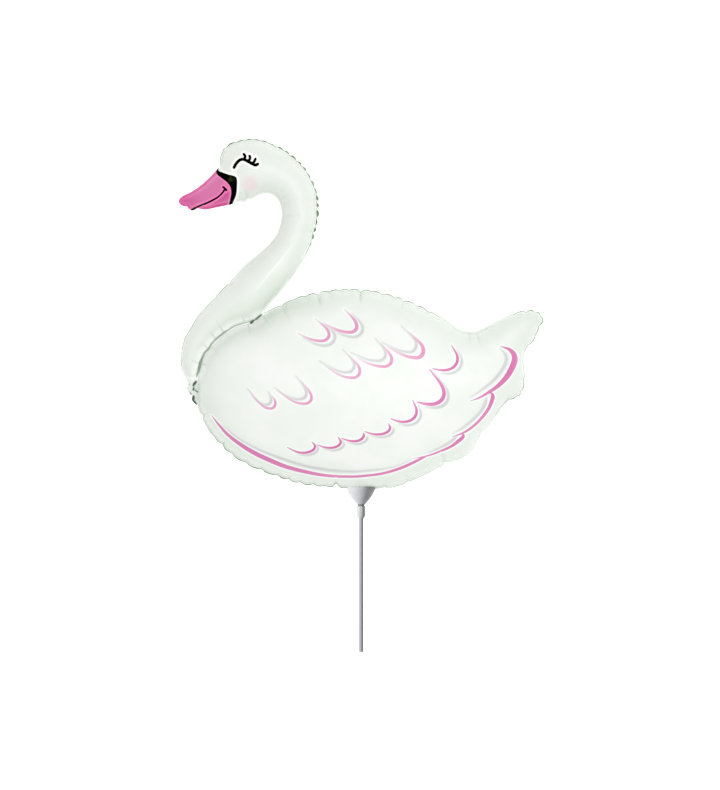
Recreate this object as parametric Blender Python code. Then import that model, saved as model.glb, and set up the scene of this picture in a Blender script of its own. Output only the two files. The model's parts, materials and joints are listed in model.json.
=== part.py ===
"""A swan-shaped foil balloon on a cup and stick, lying on its back.

The balloon is two sheets of foil, sealed together round their edge and along
one weld between the neck and the body, and blown up with air.  A grey plastic
cup holds its filling tail, and a plastic tube stands in the cup's socket.

Everything is modelled in the swan's own plane, in millimetres: x runs to the
right from the stick's axis, y runs up from the cup's mouth, and z points out
of the printed front.  One empty then lays the whole thing on the floor.
"""

import math

import bmesh
import bpy
import numpy as np
from mathutils import Vector, geometry

MM = 0.001

# ---- the balloon's driving sizes ----
FLANGE = 2.5  # width of the flat sealed edge outside the seam
WELD_HALF = 1.1  # half the width of the weld between neck and body
FOIL_HALF = 0.4  # half the thickness of the sealed edge
FULLNESS = 95.0  # the larger it is, the rounder a wide chamber blows up
FLAT_DEPTH = 2.2  # how far the back is pressed flat where it lies on the floor

# Puckers gather the seam: a few deep ones where the foil folds, shallow scallops between.
SCALLOP_WAVE, SCALLOP_DEPTH = 12.6, 0.6
SCALLOP_SHARPNESS = 0.65  # below 1 the notches come to a point
QUIET_NEAR_WELD = 7.0  # no scallops this close to the weld
PUCKER_WIDTH = 5.5
PUCKERS = [  # where each deep one is, and its depth
    (-79.0, 180.0, 1.1), (-43.0, 192.0, 1.7), (0.0, 195.0, 2.0), (43.0, 186.0, 1.5),
    (67.0, 175.0, 1.0), (121.0, 54.0, 0.7), (84.0, 25.0, 1.0), (46.0, 6.5, 1.0),
    (-25.0, 2.2, 1.4), (-83.0, 12.0, 1.0), (-131.0, 37.0, 1.1), (-155.0, 64.0, 0.6),
    (-48.0, 254.0, 0.9), (-100.0, 344.0, 0.9), (-52.0, 307.0, 0.7), (-147.0, 188.0, 0.6),
    (-134.0, 199.0, 1.0), (-102.0, 232.0, 0.9), (-80.0, 268.0, 1.3), (-173.0, 150.0, 0.6)]

# ---- the seam round the neck and head, clockwise from the bill's tip, as knots of a smooth curve ----
BILL_RIDGE = [
    (-181.2, 286.4), (-177.4, 290.4), (-169.6, 293.2), (-159.4, 300.0), (-151.3, 307.3), (-143.4, 315.3)]
CROWN = [
    (-139.6, 320.8), (-139.0, 332.6), (-132.4, 340.4), (-116.0, 345.4), (-104.6, 345.4), (-93.6, 342.6),
    (-74.6, 333.2)]
NAPE = [
    (-58.0, 317.5), (-47.2, 296.5), (-45.0, 281.0), (-46.1, 265.5), (-53.1, 241.0), (-68.8, 213.6),
    (-82.6, 196.0), (-95.8, 180.4)]
NECK_TIP = [(-167.0, 109.0), (-171.8, 108.0), (-176.2, 113.0), (-178.2, 122.4)]
BREAST = [
    (-177.8, 132.4), (-174.6, 147.0), (-168.9, 157.0), (-161.4, 169.7), (-151.2, 181.0), (-133.5, 198.1),
    (-123.3, 207.5)]
THROAT = [
    (-116.1, 218.9), (-102.9, 230.1), (-91.5, 240.4), (-83.1, 251.0), (-78.8, 261.8), (-77.3, 272.3),
    (-78.4, 282.0), (-82.3, 290.2), (-88.0, 294.6), (-95.4, 295.9)]
CHIN = [(-101.8, 294.4), (-107.4, 290.6), (-115.5, 287.3), (-123.5, 286.6), (-132.4, 284.5)]
BILL_UNDER = [
    (-144.7, 282.0), (-155.3, 279.9), (-163.6, 281.0), (-169.0, 278.8), (-173.0, 281.6), (-178.0, 283.6)]

# ---- the weld, from the fork of neck and back down to the neck's tip ----
WELD = [
    (-100.4, 171.5), (-109.4, 164.6), (-124.7, 160.4), (-136.2, 154.4), (-146.4, 146.6), (-152.7, 138.3),
    (-157.8, 130.1), (-161.2, 121.9), (-163.4, 113.5)]

# ---- the seam round the body and tail, clockwise from the fork ----
BACK = [
    (-93.0, 173.8), (-73.0, 183.4), (-55.2, 190.0), (-28.8, 195.0), (-6.0, 196.0), (13.0, 193.9),
    (36.2, 187.9), (59.2, 178.7), (85.3, 163.9)]
TAIL = [
    (93.8, 157.4), (104.7, 153.5), (115.3, 153.6), (128.9, 159.5), (145.5, 167.8), (158.5, 173.2),
    (170.8, 174.8), (177.8, 171.8), (180.2, 167.0), (176.0, 159.6), (171.4, 148.5)]
RUMP = [
    (164.5, 141.0), (161.0, 134.0), (160.2, 126.0), (161.2, 117.0), (161.3, 107.5), (160.4, 99.0),
    (156.0, 91.8), (147.0, 88.5), (139.7, 82.1)]
BELLY = [
    (131.4, 70.4), (116.4, 50.5), (108.2, 37.0), (98.6, 30.4), (85.7, 25.8), (64.1, 14.8), (42.7, 5.7),
    (25.2, 2.2), (0.0, 2.0), (-33.5, 2.2), (-57.0, 4.8), (-76.4, 10.2), (-102.9, 19.7)]
CHEST = [(-123.8, 30.8), (-140.3, 45.4), (-152.6, 61.8), (-160.5, 79.0), (-162.6, 96.0)]

# Flat foil fills the corner between the neck's tip and the chest.
CORNER_WEB = [
    (-175.8, 108.0), (-176.0, 98.0), (-169.8, 86.0), (-166.0, 77.5), (-158.5, 90.0), (-160.5, 108.0)]
# The filling tail hangs from the belly into the cup.
TAIL_TOP_HALF, TAIL_END_HALF = 5.5, 2.6
TAIL_TOP, TAIL_END = 4.0, -12.5

# ---- how finely the foil is divided ----
KNOT_STEPS = 16  # points between two knots, before they are spaced evenly
EDGE_STEP = 4.0  # spacing of the points along a seam
RINGS = ((1.3, 4.0), (4.2, 5.0), (9.5, 7.6))  # distance inside the seam, spacing
RING_SLACK = 0.86  # a ring point nearer to the seam than this share of its ring's distance is left out
GRID_STEP = 11.0  # spacing of the points in the middle of a chamber
GRID_INSET = 14.5  # the middle starts this far inside the seam
SAME_POINT = 0.01  # points closer than this are one

# ---- the cup and the stick; profiles are (radius, height) from the rim down ----
CUP_RIM = 1.0
CUP_WALL = 1.1
CUP_FLOOR, CUP_FLOOR_RADIUS = -17.2, 2.6
CUP_PROFILE = [(14.2, CUP_RIM), (14.2, -3.2), (12.7, -6.4), (8.6, -12.6), (4.6, -17.6), (3.7, -19.0)]
SOCKET_PROFILE = [(4.0, -19.9), (4.3, -21.0), (4.3, -28.2), (3.6, -30.3), (3.1, -31.4)]
SOCKET_ROOF = -19.4
SLOT_HALF, SLOT_BOTTOM = 0.8, -2.4  # two slots in the rim let the sealed edge through
SLOT_REACH = 2.0  # how far their cutter runs past the cup
STICK_RADIUS, STICK_BORE = 2.4, 1.55
STICK_TOP, STICK_END = -19.8, -165.0
CLEARANCE = 0.3  # between the stick and its socket
SIDES = 32
SHARP_ANGLE = math.radians(50)

# ---- looks: colour and roughness ----
PEARL_FOIL = ((0.90, 0.92, 0.90), 0.32)
CUP_GREY = ((0.55, 0.56, 0.58), 0.40)
TUBE_GREY = ((0.50, 0.51, 0.54), 0.35)


def material(name, look):
    """A Principled material of one colour and roughness."""
    colour, roughness = look
    made = bpy.data.materials.new(name)
    made.use_nodes = True
    shader = made.node_tree.nodes["Principled BSDF"]
    shader.inputs["Base Color"].default_value = (*colour, 1.0)
    shader.inputs["Roughness"].default_value = roughness
    return made


def spaced(loop, step):
    """The closed polyline cut into equal stretches of about the given length."""
    closed = np.vstack([loop, loop[:1]])
    along = np.concatenate([[0], np.cumsum(np.linalg.norm(np.diff(closed, axis=0), axis=1))])
    stations = np.linspace(0, along[-1], round(along[-1] / step), endpoint=False)
    return np.stack([np.interp(stations, along, closed[:, axis]) for axis in (0, 1)], axis=1)


def smooth_loop(knots, step):
    """Points a step apart along the closed Catmull-Rom curve through the knots."""
    ring = np.array(knots, float)
    before, after, beyond = (np.roll(ring, shift, axis=0) for shift in (1, -1, -2))
    stations = []
    for t in np.linspace(0, 1, KNOT_STEPS, endpoint=False):
        stations.append(0.5 * (2 * ring + (after - before) * t
                               + (2 * before - 5 * ring + 4 * after - beyond) * t ** 2
                               + (3 * ring - before - 3 * after + beyond) * t ** 3))
    return spaced(np.stack(stations, axis=1).reshape(-1, 2), step)


def outward(loop):
    """Unit normals of a clockwise loop, pointing out of it."""
    run = np.roll(loop, -1, axis=0) - np.roll(loop, 1, axis=0)
    run /= np.linalg.norm(run, axis=1)[:, None]
    return np.stack([-run[:, 1], run[:, 0]], axis=1)


def beside(line, distance):
    """An open line moved sideways, to its left for a positive distance."""
    run = np.gradient(line, axis=0)
    run /= np.linalg.norm(run, axis=1)[:, None]
    return line + distance * np.stack([-run[:, 1], run[:, 0]], axis=1)


def distance_to(points, line):
    """Distance of each point from the nearest stretch of an open polyline."""
    start, run = line[:-1], np.diff(line, axis=0)
    share = ((points[:, None] - start) * run).sum(2) / (run ** 2).sum(1)
    foot = start + np.clip(share, 0, 1)[..., None] * run
    return np.linalg.norm(points[:, None] - foot, axis=2).min(1)


def inside(points, loop):
    """Whether each point lies inside the closed polyline."""
    start, end = loop, np.roll(loop, -1, axis=0)
    x, y = points[:, :1], points[:, 1:]
    crosses = (start[:, 1] > y) != (end[:, 1] > y)
    rise = np.where(end[:, 1] == start[:, 1], 1.0, end[:, 1] - start[:, 1])
    meets = start[:, 0] + (y - start[:, 1]) * (end[:, 0] - start[:, 0]) / rise
    return (crosses & (x < meets)).sum(1) % 2 == 1


def gathered(loop):
    """The seam drawn in at its puckers, and into shallow scallops except near the weld."""
    perimeter = np.linalg.norm(np.diff(loop, axis=0, append=loop[:1]), axis=1).sum()
    wave = np.arange(len(loop)) / len(loop) * round(perimeter / SCALLOP_WAVE)
    shallow = SCALLOP_DEPTH * (1 - np.abs(np.sin(math.pi * wave)) ** SCALLOP_SHARPNESS)
    depth = shallow * np.clip(distance_to(loop, np.array(WELD)) / QUIET_NEAR_WELD - 1, 0, 1)
    for x, y, deep in PUCKERS:
        away = np.linalg.norm(loop - (x, y), axis=1)
        depth += deep * np.exp(-away / PUCKER_WIDTH)
    return loop - depth[:, None] * outward(loop)


def chambers():
    """The seam lines of the neck with its head, and of the body with its tail."""
    weld = np.array(WELD)
    neck_side = [tuple(point) for point in beside(weld, -WELD_HALF)]
    body_side = [tuple(point) for point in beside(weld, WELD_HALF)]
    neck = BILL_RIDGE + CROWN + NAPE + neck_side + NECK_TIP + BREAST + THROAT + CHIN + BILL_UNDER
    body = BACK + TAIL + RUMP + BELLY + CHEST + body_side[::-1]
    return [gathered(smooth_loop(knots, EDGE_STEP)) for knots in (neck, body)]


def film_points(seam):
    """Points inside a chamber: rings that follow the seam, and an even grid in the middle."""
    closed = np.vstack([seam, seam[:1]])
    found = []
    for inset, step in RINGS:
        ring = spaced(seam - inset * outward(seam), step)
        found.append(ring[inside(ring, seam) & (distance_to(ring, closed) > RING_SLACK * inset)])
    low, high = seam.min(0), seam.max(0)
    rows = np.arange(low[1], high[1], GRID_STEP * math.sin(math.pi / 3))
    columns = np.arange(low[0], high[0], GRID_STEP)
    grid = np.array([(x + (row % 2) * GRID_STEP / 2, y) for row, y in enumerate(rows) for x in columns])
    grid = grid[inside(grid, seam)]
    return found + [grid[distance_to(grid, closed) > GRID_INSET]]


def filling_tail():
    """Outline of the flat tail that the balloon is filled through."""
    return np.array([(-TAIL_TOP_HALF, TAIL_TOP), (TAIL_TOP_HALF, TAIL_TOP),
                     (TAIL_END_HALF, TAIL_END), (-TAIL_END_HALF, TAIL_END)])


def flat_film():
    """The flat sheet: its points, its triangles, and which of each lie inside a chamber."""
    seams = chambers()
    flaps = [seam + FLANGE * outward(seam) for seam in seams] + [np.array(CORNER_WEB), filling_tail()]
    points, edges = [], []
    for loop in flaps + seams:
        first = sum(len(laid) for laid in points)
        ring = list(range(first, first + len(loop)))
        points.append(loop)
        edges += list(zip(ring, ring[1:] + ring[:1]))
    for seam in seams:
        points += film_points(seam)
    everything = [Vector(point) for point in np.vstack(points)]
    joined = geometry.delaunay_2d_cdt(everything, edges, [], 0, SAME_POINT, False)
    flat = np.array([tuple(point) for point in joined[0]])
    triangles = np.array(joined[2])
    middle = flat[triangles].mean(axis=1)
    triangles = triangles[np.any([inside(middle, flap) for flap in flaps], axis=0)]
    middle = flat[triangles].mean(axis=1)
    blown = np.any([inside(middle, seam) for seam in seams], axis=0)
    air = np.zeros(len(flat), bool)
    air[triangles[blown]] = True
    air[triangles[~blown]] = False
    return flat, triangles, blown, air


def blown_height(flat, triangles, air):
    """How far each point of the film stands off the swan's plane.

    A soap film over the chamber gives the shape: half its squared height has
    a Laplacian of -1, so a long chamber comes out round like a tube.
    """
    corners = flat[triangles]
    stiffness = np.zeros((len(flat), len(flat)))
    load = np.zeros(len(flat))
    for a, b, c in ((0, 1, 2), (1, 2, 0), (2, 0, 1)):
        u, v = corners[:, a] - corners[:, c], corners[:, b] - corners[:, c]
        double_area = np.abs(u[:, 0] * v[:, 1] - u[:, 1] * v[:, 0])
        weight = 0.5 * (u * v).sum(1) / double_area
        i, j = triangles[:, a], triangles[:, b]
        np.add.at(stiffness, (i, j), -weight)
        np.add.at(stiffness, (j, i), -weight)
        np.add.at(stiffness, (i, i), weight)
        np.add.at(stiffness, (j, j), weight)
        np.add.at(load, i, double_area / 6)
    film = np.zeros(len(flat))
    film[air] = np.linalg.solve(stiffness[np.ix_(air, air)], load[air])
    full = np.sqrt(2 * np.maximum(film, 0))
    return np.maximum(full / np.sqrt(1 + (full / FULLNESS) ** 2), FOIL_HALF)


def finished(name, shape, finish, parent):
    """Turns a bmesh into a named object, shaded smooth, under the given parent."""
    bmesh.ops.recalc_face_normals(shape, faces=shape.faces)
    mesh = bpy.data.meshes.new(name)
    shape.to_mesh(mesh)
    shape.free()
    mesh.shade_smooth()
    mesh.set_sharp_from_angle(angle=SHARP_ANGLE)
    made = bpy.data.objects.new(name, mesh)
    bpy.context.scene.collection.objects.link(made)
    made.parent = parent
    if finish:
        mesh.materials.append(finish)
    return made


def balloon(parent):
    """The foil balloon: front and back sheet, sealed edge, weld and filling tail."""
    flat, triangles, blown, air = flat_film()
    height = blown_height(flat, triangles[blown], air)
    floor = FLAT_DEPTH - height.max()
    shape = bmesh.new()
    front = [shape.verts.new((x * MM, y * MM, z * MM)) for (x, y), z in zip(flat, height)]
    back = [shape.verts.new((x * MM, y * MM, max(-z, floor) * MM)) for (x, y), z in zip(flat, height)]
    for triangle in triangles:
        shape.faces.new([front[i] for i in triangle])
        shape.faces.new([back[i] for i in triangle[::-1]])
    used = {(a, b) for triangle in triangles for a, b in zip(triangle, np.roll(triangle, -1))}
    for a, b in sorted(used):
        if (b, a) not in used:
            shape.faces.new((front[b], front[a], back[a], back[b]))
    loose = [vert for vert in shape.verts if not vert.link_faces]
    bmesh.ops.delete(shape, geom=loose, context="VERTS")
    return finished("foil_balloon", shape, material("pearl_foil", PEARL_FOIL), parent), floor


def turned(name, profile, look, parent):
    """A profile of (radius, height) turned about the stick's axis; it closes on the axis or on itself."""
    shape = bmesh.new()
    corners = [shape.verts.new((radius * MM, height * MM, 0)) for radius, height in profile]
    edges = [shape.edges.new(pair) for pair in zip(corners, corners[1:])]
    if profile[0][0] > 0:
        edges.append(shape.edges.new((corners[-1], corners[0])))
    bmesh.ops.spin(shape, geom=corners + edges, cent=(0, 0, 0), axis=(0, 1, 0), angle=2 * math.pi,
                   steps=SIDES, use_merge=True)
    bmesh.ops.remove_doubles(shape, verts=shape.verts, dist=SAME_POINT * MM)
    return finished(name, shape, material(name + "_grey", look), parent)


def cup(parent):
    """The plastic cup: a hollow funnel over a socket, with two slots for the sealed edge."""
    funnel = [(radius - CUP_WALL, height) for radius, height in CUP_PROFILE if height > CUP_FLOOR + CUP_WALL]
    bore = STICK_RADIUS + CLEARANCE
    profile = ([(0, CUP_FLOOR), (CUP_FLOOR_RADIUS, CUP_FLOOR)] + funnel[::-1] + CUP_PROFILE + SOCKET_PROFILE
               + [(bore, SOCKET_PROFILE[-1][1]), (bore, SOCKET_ROOF), (0, SOCKET_ROOF)])
    made = turned("cup", profile, CUP_GREY, parent)
    box = bmesh.new()
    bmesh.ops.create_cube(box, size=1.0)
    width, depth = 2 * (CUP_PROFILE[0][0] + SLOT_REACH), CUP_RIM + SLOT_REACH - SLOT_BOTTOM
    bmesh.ops.scale(box, vec=Vector((width, depth, 2 * SLOT_HALF)) * MM, verts=box.verts)
    bmesh.ops.translate(box, vec=(0, (SLOT_BOTTOM + depth / 2) * MM, 0), verts=box.verts)
    cutter = finished("slot_cutter", box, None, parent)
    cutter.hide_render = True
    cutter.display_type = "WIRE"
    slots = made.modifiers.new("edge_slots", "BOOLEAN")
    slots.operation = "DIFFERENCE"
    slots.object = cutter
    return made


def stick(parent):
    """The tube that the balloon is held by."""
    profile = [(STICK_RADIUS, STICK_TOP), (STICK_RADIUS, STICK_END),
               (STICK_BORE, STICK_END), (STICK_BORE, STICK_TOP)]
    return turned("stick", profile, TUBE_GREY, parent)


def main():
    """Builds the three pieces and lays them on the floor, centred over the origin."""
    for old in list(bpy.data.objects):
        bpy.data.objects.remove(old)
    lying = bpy.data.objects.new("lying_on_its_back", None)
    bpy.context.scene.collection.objects.link(lying)
    foil, floor = balloon(lying)
    pieces = [foil, cup(lying), stick(lying)]
    spots = np.array([tuple(vert.co) for piece in pieces for vert in piece.data.vertices])
    middle = (spots.min(0) + spots.max(0)) / 2
    lying.location = (-middle[0], -middle[1], -floor * MM)


main()
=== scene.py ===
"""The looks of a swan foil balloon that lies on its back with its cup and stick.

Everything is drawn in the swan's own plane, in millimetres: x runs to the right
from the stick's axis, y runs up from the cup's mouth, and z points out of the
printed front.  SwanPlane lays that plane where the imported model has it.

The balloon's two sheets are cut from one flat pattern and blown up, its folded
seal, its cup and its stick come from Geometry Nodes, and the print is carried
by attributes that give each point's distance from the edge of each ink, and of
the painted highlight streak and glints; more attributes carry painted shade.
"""

import json
import logging
import math
from dataclasses import dataclass, field
from enum import Enum
from typing import Any, Iterable, Sequence

import bmesh
import bpy
import numpy as np
from bpy.types import Collection, Material, Node, NodeSocket, NodeTree, Object
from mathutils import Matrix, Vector, geometry

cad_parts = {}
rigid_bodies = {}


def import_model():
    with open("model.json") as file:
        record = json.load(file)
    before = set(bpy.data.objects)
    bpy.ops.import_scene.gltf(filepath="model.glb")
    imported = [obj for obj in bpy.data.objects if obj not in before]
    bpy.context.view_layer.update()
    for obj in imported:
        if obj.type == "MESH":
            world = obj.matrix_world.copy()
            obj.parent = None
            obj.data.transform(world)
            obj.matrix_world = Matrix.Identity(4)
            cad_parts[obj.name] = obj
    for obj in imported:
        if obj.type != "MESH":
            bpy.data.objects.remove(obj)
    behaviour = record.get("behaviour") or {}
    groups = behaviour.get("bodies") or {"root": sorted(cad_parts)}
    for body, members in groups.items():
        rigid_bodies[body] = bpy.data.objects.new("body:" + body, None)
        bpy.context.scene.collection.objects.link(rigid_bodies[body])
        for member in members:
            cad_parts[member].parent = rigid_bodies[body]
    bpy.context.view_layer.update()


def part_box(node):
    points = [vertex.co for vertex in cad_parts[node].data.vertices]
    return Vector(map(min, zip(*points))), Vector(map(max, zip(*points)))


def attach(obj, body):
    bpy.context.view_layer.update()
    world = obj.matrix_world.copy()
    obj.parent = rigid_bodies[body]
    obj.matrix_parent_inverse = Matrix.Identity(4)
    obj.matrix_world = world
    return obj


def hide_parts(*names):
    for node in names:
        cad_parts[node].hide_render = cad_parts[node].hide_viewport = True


Array = np.ndarray
Point = tuple[float, float]
Spot = tuple[float, float, float]  # a place in the swan's plane, and a value there
Colour = tuple[float, float, float]

MM = 0.001
LOG = logging.getLogger("swan_balloon")


class Chamber(Enum):
    """The two parts of the balloon that hold air."""

    NECK = 0
    BODY = 1


class Ink(Enum):
    """The inks of the print, the weld line, the painted glints and the painted highlight streak, each by the
    attribute that holds its distance.
    """

    PINK = "ink_pink"
    GREY = "ink_grey"
    BLACK = "ink_black"
    BILL = "ink_bill"
    WELD = "ink_weld"
    # painted dark glints: reflections of the foil's metal side
    GLINT = "ink_glint"
    # a painted highlight streak along the neck
    RIDGE = "ink_ridge"


class Face(Enum):
    """The two sheets of foil, by the way each one bulges."""

    FRONT = 1
    BACK = -1


# -------- drawing in the plane


def spaced(line: Array, step: float, closed: bool = True) -> Array:
    """Cuts a polyline into equal stretches.

    Args:
        line: the polyline's points.
        step: the wanted distance between points.
        closed: whether the last point joins the first.

    Returns:
        Points about a step apart; an open line keeps both its ends.
    """
    whole = looped(line) if closed else np.asarray(line, float)
    along = np.concatenate([[0], np.cumsum(np.linalg.norm(np.diff(whole, axis=0), axis=1))])
    count = max(round(along[-1] / step), 2)
    stations = np.linspace(0, along[-1], count if closed else count + 1, endpoint=not closed)
    return np.stack([np.interp(stations, along, whole[:, axis]) for axis in range(whole.shape[1])], axis=1)


def smooth(knots: Sequence[Sequence[float]], closed: bool = True, steps: int = 24) -> Array:
    """Draws the Catmull-Rom curve through the knots.

    Args:
        knots: the points to pass through; they may carry further values, such as a width.
        closed: whether the curve is a loop.
        steps: points between two knots.

    Returns:
        The curve's points, with the knots' values interpolated along it.
    """
    ring = np.array(knots, float)
    if not closed:
        ring = np.vstack([2 * ring[0] - ring[1], ring, 2 * ring[-1] - ring[-2]])
    before, after, beyond = (np.roll(ring, shift, axis=0) for shift in (1, -1, -2))
    stations = [0.5 * (2 * ring + (after - before) * t + (2 * before - 5 * ring + 4 * after - beyond) * t ** 2
                       + (3 * ring - before - 3 * after + beyond) * t ** 3)
                for t in np.linspace(0, 1, steps, endpoint=False)]
    spans = np.stack(stations, axis=1)
    if closed:
        return spans.reshape(-1, ring.shape[1])
    return np.vstack([spans[1:-2].reshape(-1, ring.shape[1]), ring[-2]])


def looped(loop: Array) -> Array:
    """A loop with its first point again at its end."""
    return np.vstack([loop, loop[:1]])


def leftward(runs: Array) -> Array:
    """The unit normal on the left of each run."""
    return np.stack([-runs[:, 1], runs[:, 0]], axis=1) / np.linalg.norm(runs, axis=1)[:, None]


def outward(loop: Array, reach: int = 1) -> Array:
    """Unit normals of a clockwise loop, out of it, from the run between neighbours `reach` points away."""
    return leftward(np.roll(loop, -reach, axis=0) - np.roll(loop, reach, axis=0))


def beside(line: Array, distance: Any) -> Array:
    """An open line moved sideways, to its left for a positive distance."""
    return line + np.asarray(distance)[..., None] * leftward(np.gradient(line, axis=0))


def inside(points: Array, loop: Array) -> Array:
    """Finds the points inside a closed polyline.

    Args:
        points: the points to test.
        loop: the polyline, without its first point again at its end.

    Returns:
        Whether each point lies inside.
    """
    start, end = loop, np.roll(loop, -1, axis=0)
    rise = np.where(end[:, 1] == start[:, 1], 1.0, end[:, 1] - start[:, 1])
    slope = (end[:, 0] - start[:, 0]) / rise
    found = []
    for part in np.array_split(points, max(len(points) // 4000, 1)):
        x, y = part[:, :1], part[:, 1:]
        crosses = (start[:, 1] > y) != (end[:, 1] > y)
        found.append((crosses & (x < start[:, 0] + (y - start[:, 1]) * slope)).sum(1) % 2 == 1)
    return np.concatenate(found)


def inside_any(points: Array, loops: Iterable[Array]) -> Array:
    """Whether each point lies inside one of the closed polylines."""
    return np.any([inside(points, loop) for loop in loops], axis=0)


def nearest(points: Array, line: Array) -> tuple[Array, Array]:
    """Measures each point from a polyline.

    Args:
        points: the points to measure.
        line: an open polyline.

    Returns:
        The distance from its nearest stretch, and the place along it, in stretches.
    """
    start, run = line[:-1], np.diff(line, axis=0)
    square = np.maximum((run ** 2).sum(1), 1e-12)
    distances, places = [], []
    for part in np.array_split(points, max(len(points) // 4000, 1)):
        apart = part[:, None] - start
        share = np.clip((apart * run).sum(2) / square, 0, 1)
        away = ((apart - share[..., None] * run) ** 2).sum(2)
        best = away.argmin(1)
        rows = np.arange(len(part))
        distances.append(np.sqrt(away[rows, best]))
        places.append(best + share[rows, best])
    return np.concatenate(distances), np.concatenate(places)


def eased(value: Array, low: float, high: float) -> Array:
    """Rises smoothly from 0 at `low` to 1 at `high`."""
    share = np.clip((value - low) / (high - low), 0, 1)
    return share * share * (3 - 2 * share)


@dataclass(frozen=True)
class SwanPlane:
    """The swan's own plane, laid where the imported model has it.

    The fields are the place of the plane's origin in the model, in millimetres.
    """

    across: float
    along: float
    up: float

    @classmethod
    def from_stick(cls, stick_end: float) -> "SwanPlane":
        """The plane, found from the stick's box and from the height in it at which the stick ends."""
        low, high = (np.array(corner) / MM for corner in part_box("stick"))
        return cls((low[0] + high[0]) / 2, low[1] - stick_end, (low[2] + high[2]) / 2)

    def place(self, points: Any) -> Array:
        """Points of the plane, or one point, in the model's metres."""
        return (np.asarray(points, float) + (self.across, self.along, self.up)) * MM


# -------- nodes and pieces


class Nodes:
    """Adds nodes to one tree and links them as they are added."""

    def __init__(self, tree: NodeTree) -> None:
        """Starts on a tree."""
        self.tree = tree

    def add(self, kind: str, inputs: dict | None = None, **settings: Any) -> Node:
        """Adds one node.

        Args:
            kind: the node's type.
            inputs: what each input gets, by its name or number: a socket to link, or a value.
            **settings: the node's own properties.

        Returns:
            The node.
        """
        node = self.tree.nodes.new(kind)
        for name, value in settings.items():
            setattr(node, name, value)
        self.feed(node, inputs or {})
        return node

    def group(self, tree: NodeTree, inputs: dict) -> Any:
        """Places a shader group and gives its outputs."""
        return self.add("ShaderNodeGroup", inputs, node_tree=tree).outputs

    def feed(self, node: Node, inputs: dict) -> None:
        """Fills a node's inputs.

        Args:
            node: the node.
            inputs: what each input gets, by its name or number: a socket to link, or a value.
        """
        for key, value in inputs.items():
            if isinstance(value, NodeSocket):
                self.tree.links.new(value, node.inputs[key])
            else:
                node.inputs[key].default_value = value

    def math(self, operation: str, *values: Any) -> NodeSocket:
        """The result of a Math node, shader or geometry alike."""
        return self.add("ShaderNodeMath", dict(enumerate(values)), operation=operation).outputs[0]

    def gap(self, first: Any, second: Any) -> NodeSocket:
        """How far two values are apart."""
        return self.math("ABSOLUTE", self.math("SUBTRACT", first, second))

    def blend(self, factor: Any, first: Any, second: Any) -> NodeSocket:
        """The mix of two colours."""
        inputs = {0: factor, 6: rgba(first), 7: rgba(second)}
        return self.add("ShaderNodeMix", inputs, data_type="RGBA").outputs[2]

    def ramp(self, value: Any, low: float, high: float, start: Any = 0.0, end: Any = 1.0,
             kind: str = "SMOOTHSTEP") -> NodeSocket:
        """The value mapped from the span low..high to start..end."""
        inputs = {"Value": value, "From Min": low, "From Max": high, "To Min": start, "To Max": end}
        return self.add("ShaderNodeMapRange", inputs, interpolation_type=kind).outputs["Result"]

    def attribute(self, name: str) -> NodeSocket:
        """The value of a mesh attribute."""
        return self.add("ShaderNodeAttribute", attribute_name=name).outputs["Fac"]


def rgba(colour: Any) -> Any:
    """A colour with its alpha; a socket is passed on."""
    return (*colour, 1.0) if isinstance(colour, tuple) and len(colour) == 3 else colour


def srgb(red: float, green: float, blue: float) -> Colour:
    """A colour given as a painter's 0 to 255, in the linear light that shaders use."""
    return tuple(v / 12.92 if v <= 0.04045 else ((v + 0.055) / 1.055) ** 2.4
                 for v in (red / 255, green / 255, blue / 255))


def new_group(name: str, kind: str, inputs: dict[str, str], outputs: dict[str, str]) -> tuple[Nodes, Any]:
    """Starts a node group.

    Args:
        name: the group's name.
        kind: Shader or Geometry.
        inputs: the type of each input, by its name.
        outputs: the type of each output, by its name.

    Returns:
        The group's nodes, and the sockets that its inputs come in by.
    """
    tree = bpy.data.node_groups.new(name, kind + "NodeTree")
    for way, sockets in (("INPUT", inputs), ("OUTPUT", outputs)):
        for label, held in sockets.items():
            tree.interface.new_socket(name=label, in_out=way, socket_type="NodeSocket" + held)
    nodes = Nodes(tree)
    return nodes, nodes.add("NodeGroupInput").outputs


def plain_mesh(source: Object, name: str) -> Object:
    """Turns an object with modifiers into a plain mesh object of the same place.

    Args:
        source: the object to evaluate; it is removed.
        name: the new object's name.

    Returns:
        The plain object.
    """
    graph = bpy.context.evaluated_depsgraph_get()
    mesh = bpy.data.meshes.new_from_object(source.evaluated_get(graph), depsgraph=graph)
    mesh.name = name
    bpy.data.objects.remove(source)
    return linked(bpy.data.objects.new(name, mesh))


def linked(made: Object) -> Object:
    """Puts an object in the scene."""
    bpy.context.scene.collection.objects.link(made)
    return made


def grown(source: Object, tree: NodeTree, inputs: dict, name: str, merge: float) -> Object:
    """Runs a Geometry Nodes tree on an object and keeps what it makes as a plain, closed piece.

    Args:
        source: the object that the tree starts from; it is removed.
        tree: the tree.
        inputs: the values of its inputs, by name.
        name: the piece's name.
        merge: how close two points are one, in metres.

    Returns:
        The piece.
    """
    modifier = source.modifiers.new(tree.name, "NODES")
    modifier.node_group = tree
    for item in tree.interface.items_tree:
        if item.in_out == "INPUT" and item.name in inputs:
            modifier[item.identifier] = inputs[item.name]
    piece = plain_mesh(source, name)
    shape = bmesh.new()
    shape.from_mesh(piece.data)
    bmesh.ops.remove_doubles(shape, verts=shape.verts, dist=merge)
    bmesh.ops.recalc_face_normals(shape, faces=shape.faces)
    shape.to_mesh(piece.data)
    shape.free()
    return piece


def shaded(piece: Object, corner: float) -> Object:
    """Smooths a piece's shading, except at corners of more than some degrees."""
    piece.data.shade_smooth()
    piece.data.set_sharp_from_angle(angle=math.radians(corner))
    return piece


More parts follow.
